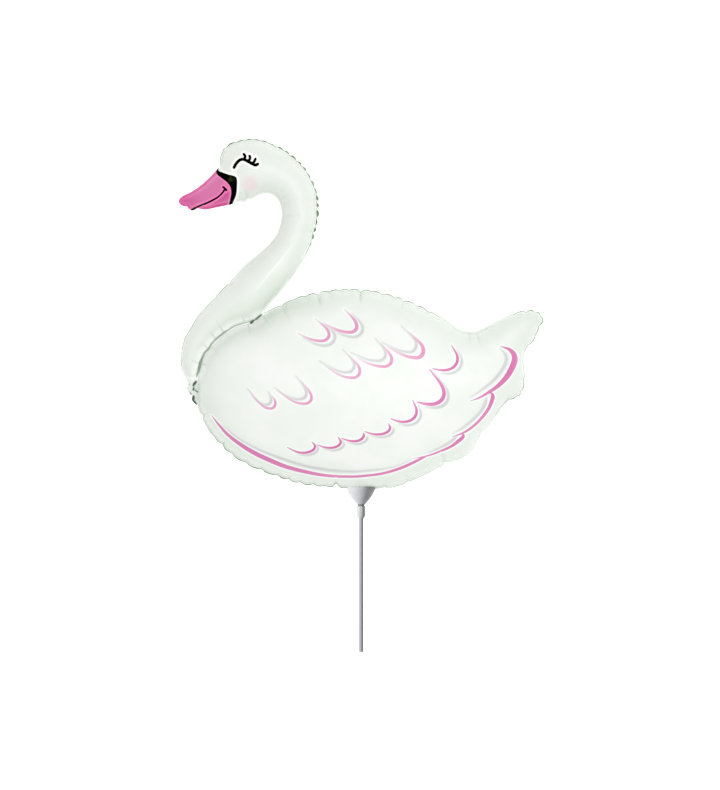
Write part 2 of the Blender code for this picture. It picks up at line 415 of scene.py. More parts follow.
def hand_over(piece: Object, slot: str, *nodes: str) -> None:
    """Gives a finished piece to the model.

    Args:
        piece: the finished object.
        slot: the name of a material slot; not used.
        *nodes: the solids that it stands for.
    """
    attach(piece, "root")
    if nodes:
        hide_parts(*nodes)
    piece.data.calc_loop_triangles()
    LOG.info("%s: %d triangles, stands for %s", piece.name, len(piece.data.loop_triangles),
             ", ".join(nodes) or "nothing")


# -------- shared effects and finishes


class Effects:
    """The shader groups that several finishes share, each built once."""

    def __init__(self) -> None:
        """Builds both groups."""
        self.grain_tree = self._grain()
        self.ink_tree = self._ink()

    def _grain(self) -> NodeTree:
        """Builds the fine mottle and grain of a moulded or printed surface.

        Returns:
            A group that turns a place into a tone and a height, both about 0 to 1.
        """
        nodes, given = new_group(
            "surface_grain", "Shader",
            {"Vector": "Vector", "Mottle Scale": "Float", "Grain Scale": "Float", "Mottle Share": "Float"},
            {"Tone": "Float", "Height": "Float"})
        mottle, grain = (
            nodes.add("ShaderNodeTexNoise", {"Vector": given["Vector"], "Scale": given[scale],
                                             "Detail": detail, "Roughness": roughness}).outputs[0]
            for scale, detail, roughness in (("Mottle Scale", 3.0, 0.55), ("Grain Scale", 2.0, 0.6)))
        both = nodes.add("ShaderNodeMix", {0: given["Mottle Share"], 2: grain, 3: mottle}).outputs[0]
        nodes.add("NodeGroupOutput", {"Tone": nodes.ramp(mottle, 0.3, 0.7), "Height": both})
        return nodes.tree

    def _ink(self) -> NodeTree:
        """Builds the cover of an ink from the distance to its edge.

        Returns:
            A group that gives 1 inside the edge, 0 outside, and a soft step between.
        """
        nodes, given = new_group(
            "ink_cover", "Shader", {"Distance": "Float", "Spread": "Float", "Softness": "Float"},
            {"Cover": "Float"})
        past = nodes.math("SUBTRACT", given["Spread"], given["Distance"])
        share = nodes.math("DIVIDE", past, given["Softness"])
        nodes.add("NodeGroupOutput", {"Cover": nodes.ramp(share, -1.0, 1.0)})
        return nodes.tree

    def grain(self, nodes: Nodes, place: Any, mottle: float, fine: float, share: float) -> Any:
        """The grain's tone and height in a finish, with the scales of its mottle and its fine grain."""
        return nodes.group(self.grain_tree, {"Vector": place, "Mottle Scale": mottle, "Grain Scale": fine,
                                             "Mottle Share": share})

    def cover(self, nodes: Nodes, distance: Any, spread: float, softness: float) -> NodeSocket:
        """The cover of one ink, spread beyond its edge."""
        return nodes.group(self.ink_tree, {"Distance": distance, "Spread": spread, "Softness": softness})[0]


def started(name: str) -> tuple[Material, Nodes, Node, NodeSocket]:
    """Starts a material.

    Args:
        name: the material's name.

    Returns:
        The material, its nodes, its Principled shader and its Object coordinates.
    """
    made = bpy.data.materials.new(name)
    made.use_nodes = True
    nodes = Nodes(made.node_tree)
    shader = made.node_tree.nodes["Principled BSDF"]
    return made, nodes, shader, nodes.add("ShaderNodeTexCoord").outputs["Object"]


def surfaced(nodes: Nodes, shader: Node, colour: Any, tone: Any, rough: tuple[float, float],
             height: Any, dent: float, strength: float, **more: Any) -> None:
    """Feeds a shader with what every finish has.

    Args:
        nodes: the finish's nodes.
        shader: its Principled shader.
        colour: its colour.
        tone: what its roughness follows.
        rough: the roughness where the tone is 0 and where it is 1.
        height: its fine relief.
        dent: how deep the relief is, in metres.
        strength: the bump's strength.
        **more: the shader's other inputs, with underscores for spaces.
    """
    bump = nodes.add("ShaderNodeBump", {"Height": height, "Distance": dent, "Strength": strength})
    nodes.feed(shader, {"Base Color": colour, "Roughness": nodes.ramp(tone, 0.0, 1.0, *rough, "LINEAR"),
                        "Normal": bump.outputs[0]})
    nodes.feed(shader, {label.replace("_", " "): value for label, value in more.items()})


@dataclass(frozen=True)
class PrintedFoil:
    """Pearl-white foil with the swan's print on it, and painted shade, a painted highlight and painted
    glints.
    """

    ground: Colour = srgb(244, 246, 243)
    # greener grey: painted shade towards the seams, and the dark side of the random mottle
    mottle_and_painted_shade: Colour = srgb(216, 226, 215)
    # the neck's film, painted darker and greener than the body's as painted shade
    neck_ground_painted_shade: Colour = srgb(234, 239, 233)
    sealed: Colour = srgb(243, 247, 242)
    white: Colour = srgb(255, 255, 254)
    edge_line: Colour = srgb(142, 170, 142)
    # painted shade in the cores of the folds
    fold_painted_shade: Colour = srgb(184, 200, 186)
    weld_line: Colour = srgb(104, 140, 106)
    weld_pale: Colour = srgb(142, 164, 136)
    # painted dark glint, standing for the metal side's reflection at the weld and on the web
    glint: Colour = srgb(14, 62, 26)
    halo: Colour = srgb(243, 255, 249)
    pink: Colour = srgb(214, 106, 170)
    pale_pink: Colour = srgb(243, 196, 218)
    grey: Colour = srgb(199, 197, 202)
    black: Colour = srgb(5, 6, 5)
    bill: Colour = srgb(217, 112, 168)
    bill_rim: Colour = srgb(255, 122, 190)
    bill_tip: Colour = srgb(208, 78, 150)
    blush: Colour = srgb(238, 222, 224)
    roughness: float = 0.45
    crinkle: float = 0.00022
    shade_reach: float = 27.0  # how far in from its seam the body gets painted shade
    # how far in from its seam the neck gets painted shade
    neck_shade_reach: float = 12.0
    halo_reach: float = 1.4  # the pale halo round the pink strokes
    black_clear: float = 2.3  # the white left round the black

    def material(self, effects: Effects) -> Material:
        """Builds the finish.

        Args:
            effects: the shared groups.

        Returns:
            The material.
        """
        made, nodes, shader, place = started("printed_foil")
        grain = effects.grain(nodes, place, 26.0, 420.0, 0.6)
        value = nodes.attribute
        seam, on_neck, weld = value("seam_inset"), value("on_neck"), value(Ink.WELD.value)
        grey, pink, black = (value(ink.value) for ink in (Ink.GREY, Ink.PINK, Ink.BLACK))

        def cover(distance: Any, spread: float, softness: float) -> NodeSocket:
            """The cover of one ink, spread beyond its edge."""
            return effects.cover(nodes, distance, spread, softness)

        def over(base: Any, share: Any, cover_of: Any, colour: Any) -> NodeSocket:
            """The colour laid over the base, at a share of its cover."""
            return nodes.blend(nodes.math("MULTIPLY", share, cover_of), base, colour)

        # painted shade: the film is darkened towards its seams, over a shorter reach and less on the neck
        reach = nodes.ramp(on_neck, 0.0, 1.0, self.shade_reach, self.neck_shade_reach, "LINEAR")
        painted_edge_shade = nodes.math("MULTIPLY", nodes.ramp(nodes.math("DIVIDE", seam, reach), 0.04, 1.0, 0.7, 0.0),
                          nodes.ramp(on_neck, 0.0, 1.0, 1.0, 0.3, "LINEAR"))
        # the neck's ground is painted darker than the body's, as painted shade
        colour = nodes.blend(painted_edge_shade, nodes.blend(on_neck, self.ground, self.neck_ground_painted_shade), self.mottle_and_painted_shade)
        colour = over(colour, grain["Tone"], 0.2, self.mottle_and_painted_shade)
        # painted light: the film is whitened beside the weld, against the shade in the weld's valley
        colour = nodes.blend(nodes.ramp(weld, 1.0, 7.5, 0.95, 0.0), colour, self.white)
        # painted shade along the cores of the folds
        colour = over(colour, value("fold_shade"), 0.8, self.fold_painted_shade)
        # painted highlight: a white streak along the neck
        colour = over(colour, value("painted_streak_tone"), cover(value(Ink.RIDGE.value), 0.2, 0.8), self.white)
        pale = nodes.ramp(value("rim_strength"), 0.05, 0.45, 0.5, 1.0)
        welded = nodes.blend(value("weld_tone"), self.weld_pale, self.weld_line)
        for mark, share, ink in (
                # the flange's own pale colour, carried about half a millimetre up the wall as painted light
                # against its shade
                (cover(seam, 0.5, 0.5), pale, self.sealed),
                (cover(nodes.gap(seam, 0.1), 0.3, 0.35), value("seam_strength"), self.edge_line),
                (cover(value("rim_inset"), 1.0, 0.45), value("rim_strength"), self.edge_line),
                (cover(weld, -0.1, 0.35), 0.9, welded),
                (cover(value(Ink.GLINT.value), 0.0, 0.4), 0.92, self.glint),
                (value("blush"), 0.9, self.blush),
                (cover(pink, self.halo_reach, 0.8), 0.8, self.halo),
                (cover(grey, 0.1, 1.0), value("grey_tone"), self.grey)):
            colour = over(colour, mark, share, ink)
        colour = nodes.blend(cover(black, self.black_clear, 0.5), colour, self.white)
        pinks = nodes.blend(value("pink_tone"), self.pale_pink, self.pink)
        inked = nodes.ramp(value("pink_tone"), 0.15, 0.5, 0.3, 1.0)
        colour = over(colour, cover(pink, -0.15, 0.15), inked, pinks)
        bill_pink = nodes.blend(nodes.ramp(value("bill_run"), 22.0, 46.0), self.bill, self.bill_tip)
        bill_pink = over(bill_pink, value("bill_low"), 1.0, self.bill_tip)
        # painted light: the bill is lightened on the steep wall at its seam, against the wall's shade
        wall = nodes.ramp(nodes.gap(seam, 0.5), 0.3, 1.5, 0.4, 0.0)
        bill_pink = nodes.blend(wall, bill_pink, self.bill_rim)
        bill_pink = over(bill_pink, cover(black, 1.5, 0.9), 0.9, self.bill_rim)
        colour = nodes.blend(cover(value(Ink.BILL.value), 0.0, 0.2), colour, bill_pink)
        colour = nodes.blend(cover(black, -0.1, 0.12), colour, self.black)
        metal = nodes.math("MULTIPLY", nodes.ramp(weld, 3.0, 6.0, 0.15, 0.0), cover(seam, 0.3, 0.6))
        wrinkled = nodes.math("MULTIPLY", grain["Height"], nodes.ramp(seam, 2.0, 22.0, 1.0, 0.18))
        rough = (self.roughness - 0.03, self.roughness + 0.05)
        surfaced(nodes, shader, colour, grain["Tone"], rough, wrinkled, self.crinkle, 0.6,
                 Metallic=metal, Coat_Weight=0.25, Coat_Roughness=0.14)
        return made


@dataclass(frozen=True)
class BlackInk:
    """The matt black of the eye, the lore and the mouth line."""

    black: Colour = srgb(1, 1, 1)
    worn: Colour = srgb(6, 7, 5)
    # painted highlight on the lore
    glint: Colour = srgb(48, 54, 32)

    def material(self, effects: Effects) -> Material:
        """Builds the finish.

        Args:
            effects: the shared groups.

        Returns:
            The material.
        """
        made, nodes, shader, place = started("black_ink")
        grain = effects.grain(nodes, place, 260.0, 900.0, 0.5)
        colour = nodes.blend(nodes.math("MULTIPLY", grain["Tone"], 0.5), self.black, self.worn)
        # painted highlight near the lore's corner
        colour = nodes.blend(nodes.attribute("lore_glint"), colour, self.glint)
        surfaced(nodes, shader, colour, grain["Tone"], (0.55, 0.7), grain["Height"], 0.0001, 0.4,
                 Specular_IOR_Level=0.0)
        return made


@dataclass(frozen=True)
class FoldedSeal:
    """The darker metal side of the foil, where the sealed edge is folded over."""

    metal: Colour = srgb(156, 178, 150)
    dark: Colour = srgb(96, 124, 94)

    def material(self, effects: Effects) -> Material:
        """Builds the finish.

        Args:
            effects: the shared groups.

        Returns:
            The material.
        """
        made, nodes, shader, place = started("folded_seal")
        grain = effects.grain(nodes, place, 160.0, 900.0, 0.7)
        colour = nodes.blend(grain["Tone"], self.metal, self.dark)
        surfaced(nodes, shader, colour, grain["Tone"], (0.3, 0.5), grain["Height"], 0.0002, 0.5, Metallic=0.3)
        return made


@dataclass(frozen=True)
class MouldedPlastic:
    """Satin grey plastic, moulded or drawn."""

    name: str
    colour: Colour
    shade: Colour
    roughness: float = 0.36
    drawn: float = 1.0  # how many times longer the mottle is along the part than across it
    joint: float | None = None  # where painted shade crosses it, in the groove of a joint, along y in metres
    groove_painted_shade: Colour = srgb(58, 60, 62)

    def material(self, effects: Effects) -> Material:
        """Builds the finish.

        Args:
            effects: the shared groups.

        Returns:
            The material.
        """
        made, nodes, shader, place = started(self.name)
        along = nodes.add("ShaderNodeMapping", {"Vector": place, "Scale": (1.0, 1.0 / self.drawn, 1.0)})
        grain = effects.grain(nodes, along.outputs[0], 120.0, 1400.0, 0.45)
        colour = nodes.blend(grain["Tone"], self.colour, self.shade)
        if self.joint is not None:
            # painted shade: a dark line in the groove between funnel and socket
            height = nodes.add("ShaderNodeSeparateXYZ", {"Vector": place}).outputs[1]
            away = nodes.math("DIVIDE", nodes.gap(height, self.joint), MM)
            mark = nodes.math("MULTIPLY", effects.cover(nodes, away, 0.8, 0.6), 0.85)
            colour = nodes.blend(mark, colour, self.groove_painted_shade)
        rough = (self.roughness - 0.04, self.roughness + 0.06)
        surfaced(nodes, shader, colour, grain["Tone"], rough, grain["Height"], 0.00012, 0.45)
        return made


# -------- the print


# The weld between neck and body, as (x, y, width), where its line and both seams follow the same points.
WELD_MIDDLE = [
    (-113.1, 165.1, 1.3), (-119.8, 163.3, 1.5), (-127.4, 160.5, 1.6), (-133, 156.7, 1.5), (-137.1, 154.1, 2),
    (-144.8, 148, 1.8), (-149.4, 143, 1.7), (-152.4, 138.1, 2.1), (-156, 134.5, 2), (-158.2, 130, 2.2),
    (-160.5, 124.2, 2.8), (-162.2, 117.5, 2.7)]


@dataclass
class Stroke:
    """One brush stroke of the print.

    Its knots are (x, y, width); the curve through them is the stroke's middle.
    """

    knots: Sequence[Spot]
    tone: float = 1.0
    faint: float = 0.45  # the share of its tone that is left at a thin end
    fading: float = 0.5
    step: float = 1.1
    bleed: float = 0.12  # how far the stroke's outline lies outside the ink's visible edge
    line: Array = field(init=False)
    half: Array = field(init=False)

    def __post_init__(self) -> None:
        """Draws the stroke's middle line and its half width along it."""
        drawn = spaced(smooth(self.knots, closed=False), self.step, closed=False)
        self.line, self.half = drawn[:, :2], np.maximum(drawn[:, 2] / 2, 0.1) + self.bleed

    def outline(self, grown: float = 0.0) -> Array:
        """Draws the closed outline, with rounded ends.

        Args:
            grown: how much wider it is to each side.

        Returns:
            The outline's points.
        """
        half = self.half + grown
        left, right = beside(self.line, half), beside(self.line, -half)
        caps = []
        for end, inner in ((-1, -2), (0, 1)):
            away = math.atan2(*(self.line[end] - self.line[inner])[::-1])
            turns = away + math.radians(90) - np.radians((45, 90, 135))
            caps.append(self.line[end] + half[end] * np.stack([np.cos(turns), np.sin(turns)], axis=1))
        return np.vstack([left, caps[0], right[::-1], caps[1]])

    def measure(self, points: Array, reach: float) -> tuple[Array, Array]:
        """Measures points from the stroke.

        Args:
            points: places in the swan's plane.
            reach: the distance given to every place that is farther.

        Returns:
            The distance from the stroke's edge, negative inside, and the ink's strength there.
        """
        found, strength = np.full(len(points), reach), np.full(len(points), float(self.tone))
        grown = reach + self.half.max()
        near = np.all((points > self.line.min(0) - grown) & (points < self.line.max(0) + grown), axis=1)
        if near.any():
            away, place = nearest(points[near], self.line)
            half = np.interp(place, np.arange(len(self.half)), self.half)
            found[near] = np.minimum(away - half, reach)
            share = (half / self.half.max()) ** self.fading
            strength[near] = self.tone * (self.faint + (1 - self.faint) * share)
        return found, strength


def arc(start: Array, first: Array, second: Array, end: Array, steps: int = 9) -> Array:
    """Points of a cubic Bezier curve, without its last."""
    t = np.linspace(0, 1, steps, endpoint=False)[:, None]
    return (1 - t) ** 3 * start + 3 * t * (1 - t) ** 2 * first + 3 * t * t * (1 - t) * second + t ** 3 * end


def feather(left: Point, bottom: Point, right: Point, top: Point, width: float, tone: float,
            faint: float = 0.45, even: float = 0.0) -> Stroke:
    """A feather's end: a crescent that swells round its lower right corner.

    Args:
        left: the long thin end.
        bottom: the lowest point.
        right: the rightmost point.
        top: the short thin end.
        width: the width at the corner.
        tone: how strong the ink is.
        faint: the share of it that is left at the thin ends.
        even: how even its width is, from 0 to 1.

    Returns:
        The stroke.
    """
    left, bottom, right, top = (np.array(point, float) for point in (left, bottom, right, top))
    run, rise, lean = bottom - left, right - bottom, top - right
    line = np.vstack([
        arc(left, left + (0.3, 0.42) * run, bottom - (0.42 * run[0], 0.0), bottom),
        arc(bottom, bottom + (0.56 * rise[0], 0.0), right - (0.0, 0.56 * rise[1]), right, 6),
        arc(right, right + (0.0, 0.36 * lean[1]), top - (0.42, 0.34) * lean, top), [top]])
    share = np.linspace(0, 1, len(line))
    swell = np.interp(share, (0, 0.2, 0.42, 0.54, 0.66, 0.84, 1), (0.42, 0.68, 0.92, 1.0, 0.92, 0.66, 0.36))
    swell = swell ** (1 - 0.65 * even)
    return Stroke([(x, y, width * size) for (x, y), size in zip(line, swell)], tone, faint, 1.3)


@dataclass
class Artwork:
    """The swan's print: feathers, wing and tail strokes, bill, lore, closed eye and blush; also the weld
    line, a painted highlight streak and painted glints.
    """

    reach: float = 9.0  # distances are kept up to here
    blush_spot: Spot = (-110.6, 302.6, 9.2)
    # where the painted highlight on the lore lies, and its radius
    glint_spot: Spot = (-129.6, 307.6, 2.7)
    pink: list[Stroke] = field(init=False)
    grey: list[Stroke] = field(init=False)
    black: list[Stroke] = field(init=False)
    mouth: Stroke = field(init=False)
    weld: Stroke = field(init=False)
    ridge: Stroke = field(init=False)  # a highlight streak painted along the neck
    glints: list[Stroke] = field(init=False)
    lore: Array = field(init=False)
    bill_root: Array = field(init=False)
    bill: Array = field(init=False)

    def __post_init__(self) -> None:
        """Draws every stroke."""
        self.pink, self.grey = [], []
        self._feathers()
        self._chain()
        self._long_strokes()
        self._face()
        self.weld = Stroke([(-99.4, 172.4, 1.6), (-101.4, 170.8, 2.2), (-105, 167.9, 2), (-108.6, 165.8, 1.2),
                            *WELD_MIDDLE, (-164, 112, 1.8), (-165.2, 107.6, 0.6)], faint=0.05, fading=2.2)
        self.ridge = Stroke([(-70, 240, 0.2), (-76.6, 231, 0.6), (-87.6, 217.5, 0.7), (-98.2, 204.8, 0.6),
                             (-106, 195, 0.2)], tone=0.55, faint=0.1, fading=1.0, step=1.6)
        # painted dark glints along the weld and on the web
        self.glints = [Stroke(knots, step=0.7) for knots in (
            [(-99.6, 172.0, 0.9), (-105.2, 167.7, 1.3)], [(-107.6, 166.4, 2.0), (-109.8, 164.4, 2.6)],
            [(-164.9, 105.4, 1.8), (-166.3, 103.6, 2.6), (-167.7, 101.6, 1.8)],
            [(-167.0, 100.0, 0.8), (-167.6, 97.4, 1.9)], [(-165.6, 96.6, 1.0), (-163.4, 95.0, 0.8)],
            [(-167.3, 90.6, 2.0), (-167.6, 88.2, 2.6)],
            [(-168.4, 87.2, 1.4), (-166.8, 85.0, 2.9), (-164.4, 82.4, 1.0)],
            [(-172.6, 104.4, 0.5), (-172.0, 102.6, 0.9)], [(-171.4, 95.0, 0.4), (-169.6, 92.6, 0.8)])]

    def _feathers(self) -> None:
        """The small feathers on the wing, in three rows, each with its grey companion."""
        def above(across: float, up: float, start: float) -> list[Point]:
            """How far a companion above its feather lies from each of its four points."""
            return [(across * share, up * share) for share in (start, 1, 1, 0.9)]

        below = ((5.7, -4.3), (3.4, -4.7), (5.9, -2), (7.9, -4.5))
        rows = [
            ((-62.8, 153.1), (-39.4, 145.7), (-31.7, 152), (-46, 168.4), 3.3, 0.62, below),
            ((-35.3, 162.3), (-10.8, 154.3), (-4.2, 160), (-16.9, 177.8), 3.8, 0.66, below),
            ((-36.3, 121), (-8.2, 109), (-1.1, 115.8), (-13.3, 132.5), 3.2, 0.58, above(-5.6, 5.4, 0.9)),
            ((-4.7, 129.1), (22.9, 120.2), (30.5, 127), (19.3, 143.4), 3.5, 0.58, above(-6, 5.6, 0.9)),
            ((27, 139.3), (55.5, 129), (62, 136.2), (46.3, 155.4), 4.2, 0.6, above(-7, 5.6, 0.9)),
            ((-111.8, 97.3), (-90, 78.5), (-85, 84), (-88.3, 91.9), 2.9, 0.58, above(-4.2, 3.6, 0.3)),
            ((-84.3, 97.8), (-56.7, 83.3), (-49.1, 89), (-60.3, 106.8), 3.1, 0.56, above(-5, 4.4, 0.3))]
        for *places, width, tone, shifts in rows:
            self.pink.append(feather(*places, width, tone, 0.1))
            self.grey.append(feather(*self._moved(places, shifts), 2.5, 0.85, 0.15, 0.4))

    @staticmethod
    def _moved(places: Iterable[Point], shifts: Iterable[Point], share: float = 1) -> list[Point]:
        """The places moved, each by a share of its own shift."""
        return [(x + dx * share, y + dy * share) for (x, y), (dx, dy) in zip(places, shifts)]

    def _chain(self) -> None:
        """The chain of larger feathers along the wing's lower edge, each with its grey companion."""
        links = [
            ((71.7, 118.2), (82.6, 116.6), (96, 128), (89.8, 141.6), 3, 1),
            ((56.2, 84.8), (69.4, 82.8), (82.4, 93), (68.3, 117.4), 4, 1),
            ((29.7, 68.4), (42.5, 65.3), (55.2, 75.6), (51.2, 87), 3, 1),
            ((3.7, 55.7), (16.4, 52.8), (28.9, 59.6), (27.2, 63.6), 2.8, 0.8),
            ((-19.3, 49), (-6.9, 46.1), (2.8, 52.2), (2.4, 54.4), 2.8, 0.8),
            ((-43.2, 42.4), (-31, 39.5), (-20.1, 45.4), (-23, 50.4), 2.7, 0.75),
            ((-73.3, 39.9), (-57.5, 34.6), (-45.7, 41), (-48.8, 45.6), 2.7, 0.7)]
        shifts = ((7.4, -4.6), (3.6, -3.4), (4.3, -2.5), (5.4, -4.2))
        for *places, width, share in links:
            self.pink.append(feather(*places, width, 1, 0.35))
            self.grey.append(feather(*self._moved(places, shifts, share), 0.72 * width, 0.85, 0.1, 0.2))

    def _long_strokes(self) -> None:
        """The wing's bottom line and the three tail strokes, each with its grey companion."""
        self.pink += [Stroke(knots, 1, 0.55) for knots in (
            [(-148.8, 71.6, 0.7), (-141.4, 62.1, 2.3), (-132.2, 51.9, 3.2), (-120, 42.7, 3.9),
             (-104.7, 33.5, 4.5), (-89.4, 26.4, 4.6), (-74.1, 20.3, 4.2), (-53.7, 15.2, 3.7),
             (-33.2, 11.6, 3), (-11, 10.8, 2.6), (0.6, 11.3, 2.6), (21, 13.8, 2.6), (41.4, 20, 3),
             (56.8, 27.1, 2.7), (64.9, 31, 1.4)],
            [(51.7, 28.8, 0.4), (65.9, 31.4, 1.5), (77.2, 35.2, 2.2), (89.3, 40.6, 2.8), (97.8, 46.7, 3.8),
             (101.9, 50.9, 3.4), (100.4, 54, 1.2)],
            [(89.9, 50, 0.4), (101.4, 54.2, 2), (111.1, 60.3, 2.7), (119.6, 68.5, 3), (126.9, 78.2, 3.6),
             (130.9, 87.9, 4.2), (131, 92, 3.4), (128.4, 95, 1.2)],
            [(107.5, 85.7, 0.4), (117.2, 89.1, 1.8), (126.9, 94.6, 3), (136.6, 101.2, 4.2),
             (144.8, 109.7, 5.4), (150.7, 119.4, 6.2), (153.3, 127.3, 6.2), (151.9, 133.4, 5),
             (146.8, 138, 3), (138.4, 140.5, 0.6)])]
        self.grey += [Stroke(knots, 0.75, 0.3) for knots in (
            [(-138.3, 62.1, 0.6), (-125.1, 50.9, 1.2), (-109.8, 41.7, 1.5), (-94.5, 34.6, 1.9),
             (-79.2, 28.9, 2.2), (-58.8, 22.3, 2.3), (-38.3, 18.2, 2.3), (-19.8, 16.2, 2), (0.6, 16.2, 1.7),
             (31.2, 20.2, 1), (51.7, 28.1, 0.5)],
            [(66.3, 34, 0.5), (76, 38.2, 1.6), (85.7, 43.1, 2.2), (92.9, 48.5, 2.4), (96.2, 52.2, 0.8)],
            [(91.7, 54, 0.5), (100.2, 58.8, 1.8), (109.9, 66.1, 2.4), (118.4, 74.6, 2.7), (123.4, 83.1, 3),
             (125.1, 89.7, 1)],
            [(107.9, 89.3, 0.5), (119.2, 96.6, 1.8), (129.1, 104.1, 2.6), (136.5, 111.5, 3),
             (142.6, 120.4, 3), (145, 127.9, 2.8), (143.2, 133.2, 2.2), (138.6, 138.4, 0.8)])]

    def _face(self) -> None:
        """The closed eye with its lashes, the mouth line, the lore and the bill."""
        mouth_end = [(-137.6, 299.6), (-135.9, 298.2), (-134.3, 296.4)]
        lid = [(-126.6, 319), (-124.4, 323), (-120.8, 326.4), (-116.8, 327), (-111.6, 324.4),
               (-107.5, 322.1), (-104.8, 321.3), (-103, 322.3)]
        lashes = [[(-116.6, 327), (-115.6, 330), (-116.9, 332.4)],
                  [(-112.4, 325.2), (-110.6, 328.2), (-111.1, 330.4)],
                  [(-108.1, 323), (-106.3, 325.2), (-105.3, 327.4)]]
        self.mouth = Stroke([(-135.6, 297.8, 2), (-137.3, 295.2, 1.9), (-140.4, 291.7, 1.8),
                             (-145.4, 288, 1.9), (-153.6, 284, 1.9), (-163, 280.4, 2),
                             (-169.1, 277, 2.8)], step=0.7, bleed=0)
        strokes = [(lid, 3.2), (mouth_end, 2.2)] + [(lash, 2.8) for lash in lashes]
        self.black = [Stroke([(x, y, width) for x, y in line], step=0.6, bleed=0)
                      for line, width in strokes] + [self.mouth]
        inner = [(-143.4, 319.6), (-145.1, 314), (-140, 309), (-134, 304.4), (-130.3, 299),
                 (-129.8, 291.7), (-132.3, 283), (-133.6, 279)]
        outer = [(-128.6, 279), (-128.2, 283.5), (-124.7, 291.7), (-123.7, 300), (-123.7, 307),
                 (-125.7, 310.1), (-134, 312.6), (-142, 316.2), (-141.8, 319.6)]
        self.bill_root = spaced(smooth(inner, closed=False), 0.8, closed=False)
        self.lore = np.vstack([self.bill_root, spaced(smooth(outer, closed=False), 0.8, closed=False)])
        self.bill = np.vstack([self.bill_root, [(-133, 262), (-200, 262), (-200, 330), (-143.4, 330)]])

    def outlines(self) -> list[Array]:
        """The outlines that the mesh follows exactly."""
        return [stroke.outline() for stroke in self.pink + self.black + [self.weld]] + [self.lore]

    def middles(self) -> Array:
        """Points along the middles of the sharp strokes."""
        return np.vstack([stroke.line for stroke in self.pink + self.black])

    def soft_points(self) -> Array:
        """Sets points that carry the soft edges of the grey strokes and of the halos.

        Returns:
            The points.
        """
        found = [spaced(stroke.outline(0.7), 1.8) for stroke in self.grey]
        found += [spaced(stroke.line, 1.8, closed=False) for stroke in self.grey + [self.ridge]]
        found += [self.ridge.outline(grown) for grown in (0.1, 1.0)]
        found += [spaced(stroke.outline(grown), 1.5) for stroke in self.pink for grown in (0.8, 2.0)]
        found += [spaced(stroke.outline(grown), 1.1) for stroke in self.black for grown in (0.6, 1.6, 2.5)]
        return np.vstack(found)

    def distances(self, points: Array) -> dict[str, Array]:
        """Measures the print.

        Args:
            points: places in the swan's plane.

        Returns:
            The value of each of the print's attributes at each place.
        """
        found = {}
        columns = np.arange(len(points))
        for ink, strokes, tone in ((Ink.PINK, self.pink, "pink_tone"), (Ink.GREY, self.grey, "grey_tone")):
            measured = [stroke.measure(points, self.reach) for stroke in strokes]
            away = np.stack([distance for distance, _ in measured])
            best = away.argmin(0)
            found[ink.value] = away[best, columns]
            found[tone] = np.stack([strength for _, strength in measured])[best, columns]
        black = [stroke.measure(points, self.reach)[0] for stroke in self.black]
        found[Ink.BLACK.value] = np.minimum(np.min(black, axis=0), self.to_shape(points, self.lore))
        found[Ink.BILL.value] = self.to_shape(points, self.bill)
        for ink, stroke, tone in ((Ink.WELD, self.weld, "weld_tone"), (Ink.RIDGE, self.ridge, "painted_streak_tone")):
            found[ink.value], found[tone] = stroke.measure(points, self.reach)
        glints = [glint.measure(points, self.reach)[0] for glint in self.glints]
        found[Ink.GLINT.value] = np.min(glints, axis=0)
        found["bill_run"] = np.where(found[Ink.BILL.value] < 0, nearest(points, self.bill_root)[0], 0.0)
        mouth = self.mouth.line[::-1]
        found["bill_low"] = eased(np.interp(points[:, 0], mouth[:, 0], mouth[:, 1]) - points[:, 1], 0.0, 3.0)
        for name, (x, y, radius) in (("blush", self.blush_spot), ("lore_glint", self.glint_spot)):
            found[name] = 1 - eased(np.linalg.norm(points - (x, y), axis=1), 0.4 * radius, 1.25 * radius)
        return found

    def to_shape(self, points: Array, loop: Array) -> Array:
        """Distance of each point from a filled shape's edge, negative inside."""
        away = nearest(points, looped(loop))[0]
        return np.clip(np.where(inside(points, loop), -away, away), -self.reach, self.reach)


# -------- the balloon


